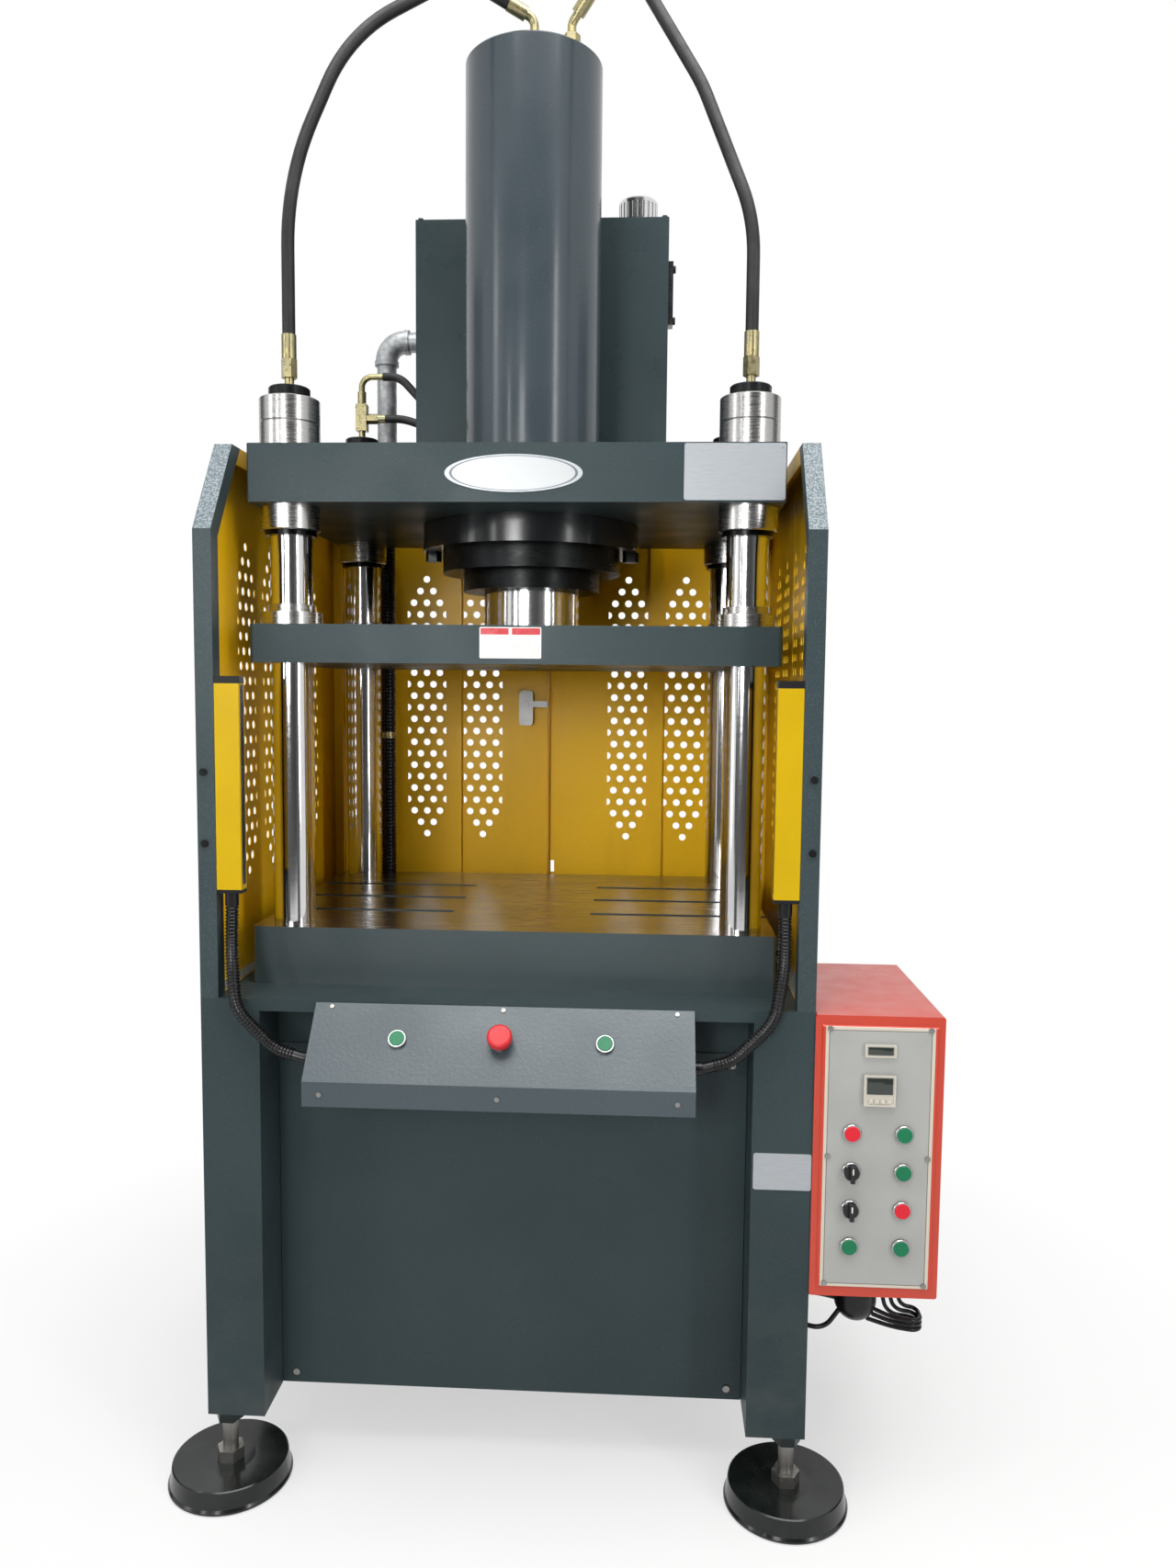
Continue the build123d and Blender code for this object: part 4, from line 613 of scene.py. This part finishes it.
def pick_faces(made, test):
    bpy.ops.object.mode_set(mode="EDIT")
    bpy.ops.mesh.select_all(action="DESELECT")
    bpy.ops.mesh.select_mode(type="FACE")
    bpy.ops.object.mode_set(mode="OBJECT")
    for face in made.data.polygons:
        face.select = test(face)
    bpy.ops.object.mode_set(mode="EDIT")


def pick_edges(made, test):
    bpy.ops.object.mode_set(mode="EDIT")
    bpy.ops.mesh.select_mode(type="EDGE")
    bpy.ops.mesh.select_all(action="DESELECT")
    bpy.ops.object.mode_set(mode="OBJECT")
    points = made.data.vertices
    for edge in made.data.edges:
        edge.select = test(points[edge.vertices[0]].co, points[edge.vertices[1]].co)
    bpy.ops.object.mode_set(mode="EDIT")


def runs_deep(a, b):
    return abs(a.x - b.x) + abs(a.z - b.z) < 1e-6


def faces_front(face):
    return face.normal.y < -0.9


def finish_piece(made, finish, body):
    calm()
    made.select_set(True)
    bpy.context.view_layer.objects.active = made
    bpy.ops.object.transform_apply(location=True, rotation=True, scale=True)
    bpy.ops.object.shade_smooth_by_angle(angle=math.radians(35))
    made.data.materials.clear()
    made.data.materials.append(finish)
    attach(made, body)
    print(made.name, "has", len(made.data.polygons), "faces")
    return made


# %% [markdown]
# ## The label on the slide
# A vinyl label with two fields sits in the middle of the slide. It moves with
# the slide, so it rides on that body. It is a thin brick whose four corners
# are rounded by a bevel, and its red headings, white fields and fine frame
# lines come from where the point lies on it.

# %% Slide label
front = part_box("slide_plate")[0].y
LABEL_X, LABEL_Z = AXIS.x - 0.004, 1.4455
LABEL_W, LABEL_H, LABEL_THICK = 0.104, 0.052, 0.0006
HEADING, MARGIN, FRAME = 0.0125, 0.0015, 0.0022
label = brick("slide_label", (LABEL_X - LABEL_W / 2, front - LABEL_THICK, LABEL_Z - LABEL_H / 2),
              (LABEL_X + LABEL_W / 2, front, LABEL_Z + LABEL_H / 2))
pick_edges(label, runs_deep)
bpy.ops.mesh.bevel(offset=0.002, segments=4)

vinyl, tree, shader = blank("label_vinyl", shine=0.25)
wide = calc(tree, "ABSOLUTE", calc(tree, "SUBTRACT", part_of(tree, "X"), LABEL_X))
tall = calc(tree, "SUBTRACT", part_of(tree, "Z"), LABEL_Z)
heading = calc(tree, "GREATER_THAN", tall, LABEL_H / 2 - HEADING)
field_edge = calc(tree, "ABSOLUTE", calc(tree, "SUBTRACT", wide, LABEL_W / 4 + 0.0005))
in_field = calc(tree, "LESS_THAN", field_edge, LABEL_W / 4 - FRAME)
tall_edge = calc(tree, "LESS_THAN", calc(tree, "ABSOLUTE", tall), LABEL_H / 2 - MARGIN)
inside = calc(tree, "MULTIPLY", in_field, tall_edge)
paper = mix(tree, patches(tree, 60.0, low=0.3), (0.60, 0.59, 0.57), (0.53, 0.52, 0.50))
tone = mix(tree, heading, paper, (0.42, 0.010, 0.018))
put(tree, shader, "Base Color", mix(tree, inside, (0.66, 0.65, 0.64), tone))
put(tree, shader, "Roughness", spread(tree, cloud(tree, 90.0), 0.3, 0.7, 0.25, 0.4))
finish_piece(label, vinyl, "slide")

# %% [markdown]
# ## Ribs on the conduits
# The conduits below the light curtains are ribbed so that they bend without
# a kink. Each rib is a ring. It is modelled once, as a circle that is spun
# into a torus by the primitive and then flattened a little, and copies of it
# are threaded on the line of the conduit. A bump would look flat on the
# outline, and the outline is what shows against the paint.

# %% Thread rings on a line
ARC_PIECES = 24


def rounded_line(corners, radii, step=0.001):
    points = [Vector(c) / 1000 for c in corners]
    line = [points[0]]
    for i, radius in enumerate(radii):
        a, b, c = points[i], points[i + 1], points[i + 2]
        to_a, to_c = (a - b).normalized(), (c - b).normalized()
        half = to_a.angle(to_c) / 2
        reach = radius / 1000 / math.tan(half)
        centre = b + (to_a + to_c).normalized() * (radius / 1000 / math.sin(half))
        first, last = b + to_a * reach - centre, b + to_c * reach - centre
        turn = first.rotation_difference(last)
        for k in range(ARC_PIECES + 1):
            spin = Matrix.Rotation(turn.angle * k / ARC_PIECES, 3, turn.axis)
            line.append(centre + spin @ first)
    line.append(points[-1])
    even = [line[0]]
    for a, b in zip(line, line[1:]):
        count = max(1, int((b - a).length / step))
        even += [a.lerp(b, (k + 1) / count) for k in range(count)]
    return even


def thread_rings(name, line, pitch, across, thick, finish, body, start=0.0, stop=None):
    calm()
    bpy.ops.mesh.primitive_torus_add(major_radius=across / 2 - thick / 2, minor_radius=thick / 2,
                                     major_segments=20, minor_segments=6)
    ring = bpy.context.object
    bpy.ops.object.mode_set(mode="EDIT")
    bpy.ops.transform.resize(value=(1, 1, 0.8), center_override=(0, 0, 0))
    bpy.ops.object.mode_set(mode="OBJECT")
    copies = []
    run, due = 0.0, start
    for a, b in zip(line, line[1:]):
        step = (b - a).length
        if step == 0:
            continue
        if run >= due and (stop is None or run <= stop):
            copy = ring.copy()
            copy.data = ring.data.copy()
            copy.matrix_world = Matrix.Translation(a) @ (b - a).to_track_quat("Z", "Y").to_matrix().to_4x4()
            bpy.context.scene.collection.objects.link(copy)
            copies.append(copy)
            due += pitch
        run += step
    calm()
    bpy.data.objects.remove(ring)
    for copy in copies:
        copy.select_set(True)
    bpy.context.view_layer.objects.active = copies[0]
    bpy.ops.object.join()
    made = bpy.context.object
    made.name = name
    print(name, "has", len(copies), "rings over", round(run, 3), "m")
    return finish_piece(made, finish, body)


ROUTE = [(453, -392, 1008), (454, -396, 930), (436, -431, 845), (372, -431, 780), (322, -431, 766)]
RIB_PITCH, RIB_ACROSS, RIB_THICK = 0.0056, 0.0225, 0.0030
for side, tag in ((-1, "left"), (1, "right")):
    corners = [(side * x + AXIS.x * 1000, y + AXIS.y * 1000, z) for x, y, z in ROUTE]
    conduit_line = rounded_line(corners, [160, 75, 70])
    thread_rings("conduit_ribs_" + tag, conduit_line, RIB_PITCH, RIB_ACROSS, RIB_THICK, ribbed_plastic,
                 "machine", start=0.004, stop=0.296)

# %% [markdown]
# ## Ribs on the suction hose
# The long hose from the tank down to the pump is held open by a steel spiral,
# which shows as ribs. Only its straight stretch is in sight, so that is where
# the rings go.

# %% Suction hose ribs
low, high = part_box("suction_hose")
HOSE_RADIUS, FIRST_RIB, STRAIGHT_MM = 0.0155, 0.045, 1180
hose_x = low.x + HOSE_RADIUS
hose_y = max(low.y, high.y - HOSE_RADIUS)
straight = [Vector((hose_x, hose_y, high.z - FIRST_RIB - 0.001 * k)) for k in range(STRAIGHT_MM)]
thread_rings("suction_hose_ribs", straight, 0.008, 0.0350, 0.0042, ribbed_plastic,
             "machine")

# %% [markdown]
# ## Faces of the counter and the timer
# The counter and the timer are bought in. Each has a pale bezel with a dark
# window. The bezel is a brick whose front is inset and pushed in, which makes
# the frame and the pocket in one go, and a thin dark pane fills the pocket.
# Four keys below the timer's window are one brick, copied.

# %% Display windows
BEZEL_RIM = 0.003


def bezel(name, x, z, half_w, half_h, y_face):
    made = brick(name, (x - half_w, y_face - 0.0022, z - half_h), (x + half_w, y_face - 0.0001, z + half_h))
    pick_faces(made, faces_front)
    bpy.ops.mesh.inset(thickness=BEZEL_RIM, depth=0)
    bpy.ops.mesh.inset(thickness=0.0004, depth=-0.0012)
    pick_edges(made, lambda a, b: runs_deep(a, b) and abs(a.x - x) > half_w - 1e-5)
    bpy.ops.mesh.bevel(offset=0.0012, segments=3)
    return made


cream = powder("display_bezel", (0.50, 0.47, 0.40), (0.44, 0.42, 0.36), peel=900.0, lift=0.05)
glass = rubber("display_glass", (0.05, 0.12), 200.0, 0.02, (0.020, 0.026, 0.022), (0.032, 0.04, 0.034),
               coat=0.8)
low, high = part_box("counter_and_timer")
middle = (low.x + high.x) / 2
COUNTER_Z, TIMER_Z = 0.797, 0.732
KEYPAD_HIGH, PANE_IN, PANE_DOWN = 0.0155, 0.005, 0.0042
windows = [("counter", COUNTER_Z, 0.025, 0.0105, 0.0, low.y + 0.001),
           ("timer", TIMER_Z, 0.0255, 0.0255, KEYPAD_HIGH, low.y)]
for name, height, half_w, half_h, keypad, face_y in windows:
    made = bezel(name + "_bezel", middle, height, half_w, half_h, face_y)
    finish_piece(made, cream, "machine")
    pane_low = (middle - half_w + PANE_IN, face_y - 0.0026, height - half_h + keypad + PANE_DOWN)
    pane_high = (middle + half_w - PANE_IN, face_y - 0.0009, height + half_h - PANE_DOWN)
    pane = brick(name + "_window", pane_low, pane_high)
    pick_edges(pane, lambda a, b: a.y < face_y - 0.002 and b.y < face_y - 0.002)
    bpy.ops.mesh.bevel(offset=0.0006, segments=2)
    finish_piece(pane, glass, "machine")

KEY_X, KEY_Z, KEY_HALF, KEY_PITCH = middle - 0.014, 0.715, 0.0035, 0.0094
key = brick("timer_key_1", (KEY_X - KEY_HALF, low.y - 0.0034, KEY_Z - KEY_HALF),
            (KEY_X + KEY_HALF, low.y - 0.0009, KEY_Z + KEY_HALF))
pick_faces(key, faces_front)
bpy.ops.mesh.inset(thickness=0.0008, depth=0.0004)
keys = [finish_piece(key, cream, "machine")]
for k in range(1, 4):
    copy = key.copy()
    copy.data = key.data.copy()
    copy.name = "timer_key_" + str(k + 1)
    bpy.context.scene.collection.objects.link(copy)
    copy.parent = None
    copy.data.transform(Matrix.Translation((KEY_PITCH * k, 0, 0)))
    keys.append(finish_piece(copy, cream, "machine"))
print("keys on the timer:", len(keys))

# %% [markdown]
# ## White marks on the two selectors
# A selector is read by a white line moulded into its handle. It is a small
# brick whose front is drawn in by an inset, so that its edge catches light,
# and it turns with the selector.

# %% Selector marks
chalk = powder("selector_mark", (0.72, 0.72, 0.70), (0.62, 0.62, 0.60), peel=900.0, lift=0.04)
MARK_HALF, MARK_FROM, MARK_TO = 0.0011, 0.002, 0.0115
for node_name, body in (("selector_mode", "mode"), ("selector_height", "height")):
    low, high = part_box(node_name)
    x, z = (low.x + high.x) / 2, (low.z + high.z) / 2
    mark = brick(body + "_mark", (x - MARK_HALF, low.y - 0.0005, z + MARK_FROM),
                 (x + MARK_HALF, low.y + 0.0003, z + MARK_TO))
    pick_faces(mark, faces_front)
    bpy.ops.mesh.inset(thickness=0.0004, depth=0.0003)
    finish_piece(mark, chalk, body)

# %% [markdown]
# ## Studio
# The press stands on a pale floor that fades to white with distance, so that
# floor and background have no seam. Light comes mostly from above and in
# front, as from a bright hall, with a broad soft panel and two tall strips
# that draw the long highlights down the columns and the barrel. Dark cards
# beside the camera and a dark wall behind it stand in for the hall, so that
# paint and polished steel have something dark to mirror.

# %% Floor and background
WHITE_FROM, WHITE_AT = 0.6, 1.5
AIR = 0.52


def seen_rays(tree):
    path = tree.nodes.new("ShaderNodeLightPath").outputs
    mirrored = calc(tree, "MAXIMUM", path["Is Glossy Ray"], path["Is Transmission Ray"])
    return calc(tree, "MAXIMUM", path["Is Camera Ray"], mirrored)


calm()
bpy.ops.mesh.primitive_plane_add(size=40.0, location=(0, 0, 0))
floor = bpy.context.object
floor.name = "floor"
ground, tree, shader = blank("floor_finish")
spots = patches(tree, 3.0, 4.0, 0.3)
put(tree, shader, "Base Color", mix(tree, spots, (0.80, 0.80, 0.79), (0.77, 0.77, 0.76)))
shader.inputs["Roughness"].default_value = 0.9
far = tree.nodes.new("ShaderNodeVectorMath")
far.operation = "LENGTH"
link(tree, point(tree), far.inputs[0])
fade = spread(tree, far.outputs["Value"], WHITE_FROM, WHITE_AT, 0.55, 1.0)
white = tree.nodes.new("ShaderNodeEmission")
both = tree.nodes.new("ShaderNodeMixShader")
link(tree, calc(tree, "MULTIPLY", seen_rays(tree), fade), both.inputs["Fac"])
link(tree, shader.outputs["BSDF"], both.inputs[1])
link(tree, white.outputs["Emission"], both.inputs[2])
link(tree, both.outputs["Shader"], tree.nodes["Material Output"].inputs["Surface"])
floor.data.materials.append(ground)

sky = bpy.data.worlds.new("studio_sky")
bpy.context.scene.world = sky
sky.use_nodes = True
tree = sky.node_tree
air = tree.nodes["Background"]
air.inputs["Color"].default_value = (1, 1, 1, 1)
link(tree, spread(tree, seen_rays(tree), 0.0, 1.0, AIR, 1.0), air.inputs["Strength"])
print("floor and background are white")

# %% [markdown]
# ## Lamps and cards
# Area lamps are soft because they are large. Each is aimed by turning it
# until its own minus Z points at the press, and one with a narrow spread
# reaches into the work space. The cards are plain bricks that are thinned to
# a board. The camera doesn't see them, only polished steel and paint do.

# %% Lamps
def lamp(name, place, aim, wide, tall, watts):
    data = bpy.data.lights.new(name, "AREA")
    data.shape = "RECTANGLE"
    data.size, data.size_y, data.energy = wide, tall, watts
    made = bpy.data.objects.new(name, data)
    bpy.context.scene.collection.objects.link(made)
    made.location = place
    made.rotation_euler = (Vector(aim) - Vector(place)).to_track_quat("-Z", "Y").to_euler()
    return made


lamp("roof_panel", (0.2, -1.3, 4.6), (0.0, 0.0, 1.1), 3.6, 2.6, 165)
lamp("front_panel", (-1.7, -4.2, 2.2), (0.0, 0.0, 1.5), 2.2, 1.8, 130)
mouth = lamp("mouth_panel", (-0.75, -3.1, 1.75), (0.05, 0.45, 1.3), 0.9, 0.7, 2.6)
mouth.data.spread = math.radians(50)
lamp("left_strip", (-2.6, -1.6, 2.0), (0.0, 0.0, 1.6), 0.35, 2.6, 14)
lamp("right_strip", (2.4, -2.6, 2.1), (0.0, 0.0, 1.6), 0.35, 2.6, 32)


def card(name, place, wide, tall, turn):
    made = brick(name, (-wide / 2, -0.01, -tall / 2), (wide / 2, 0.01, tall / 2))
    made.rotation_euler = (0, 0, math.radians(turn))
    made.location = place
    board, tree, shader = blank(name + "_felt")
    put(tree, shader, "Base Color", mix(tree, cloud(tree, 40.0), (0.09, 0.09, 0.092), (0.12, 0.12, 0.122)))
    shader.inputs["Roughness"].default_value = 0.9
    made.data.materials.append(board)
    made.visible_camera = False


card("card_left", (-1.5, -3.3, 1.5), 1.0, 3.0, -20)
card("card_right", (1.9, -3.3, 1.5), 1.0, 3.0, 20)
card("card_far_left", (-2.6, 0.4, 1.5), 1.2, 3.0, 80)
card("card_far_right", (2.8, 0.4, 1.5), 1.2, 3.0, -80)
card("hall_wall", (0.0, -5.6, 2.6), 11.0, 5.2, 0)
print("lamps and cards placed")

# %% [markdown]
# ## Camera
# The picture was taken by hand from just in front of the press at chest
# height, with a wide lens, so the camera is a little turned, tilted down and
# rolled. Its axes are worked out from those three small angles.

# %% Camera
yaw, pitch, roll = -0.0515, -0.0801, 0.0095
stand = Vector((0.2260, -2.1944, 1.3655))
ahead = Vector((math.sin(yaw) * math.cos(pitch), math.cos(yaw) * math.cos(pitch), math.sin(pitch)))
right = Vector((math.cos(yaw), -math.sin(yaw), 0.0))
upward = right.cross(ahead)
side_axis = right * math.cos(roll) + upward * math.sin(roll)
up_axis = upward * math.cos(roll) - right * math.sin(roll)
eye = bpy.data.cameras.new("camera")
eye.lens = 25.83
eye.sensor_width = 36.0
eye.shift_y = -0.00144
camera = bpy.data.objects.new("camera", eye)
bpy.context.scene.collection.objects.link(camera)
turned = Matrix((side_axis, up_axis, -ahead)).transposed().to_4x4()
camera.matrix_world = Matrix.Translation(stand + AXIS) @ turned
bpy.context.scene.camera = camera
bpy.context.scene.view_settings.view_transform = "Standard"
print("camera stands at", [round(v, 3) for v in camera.location])
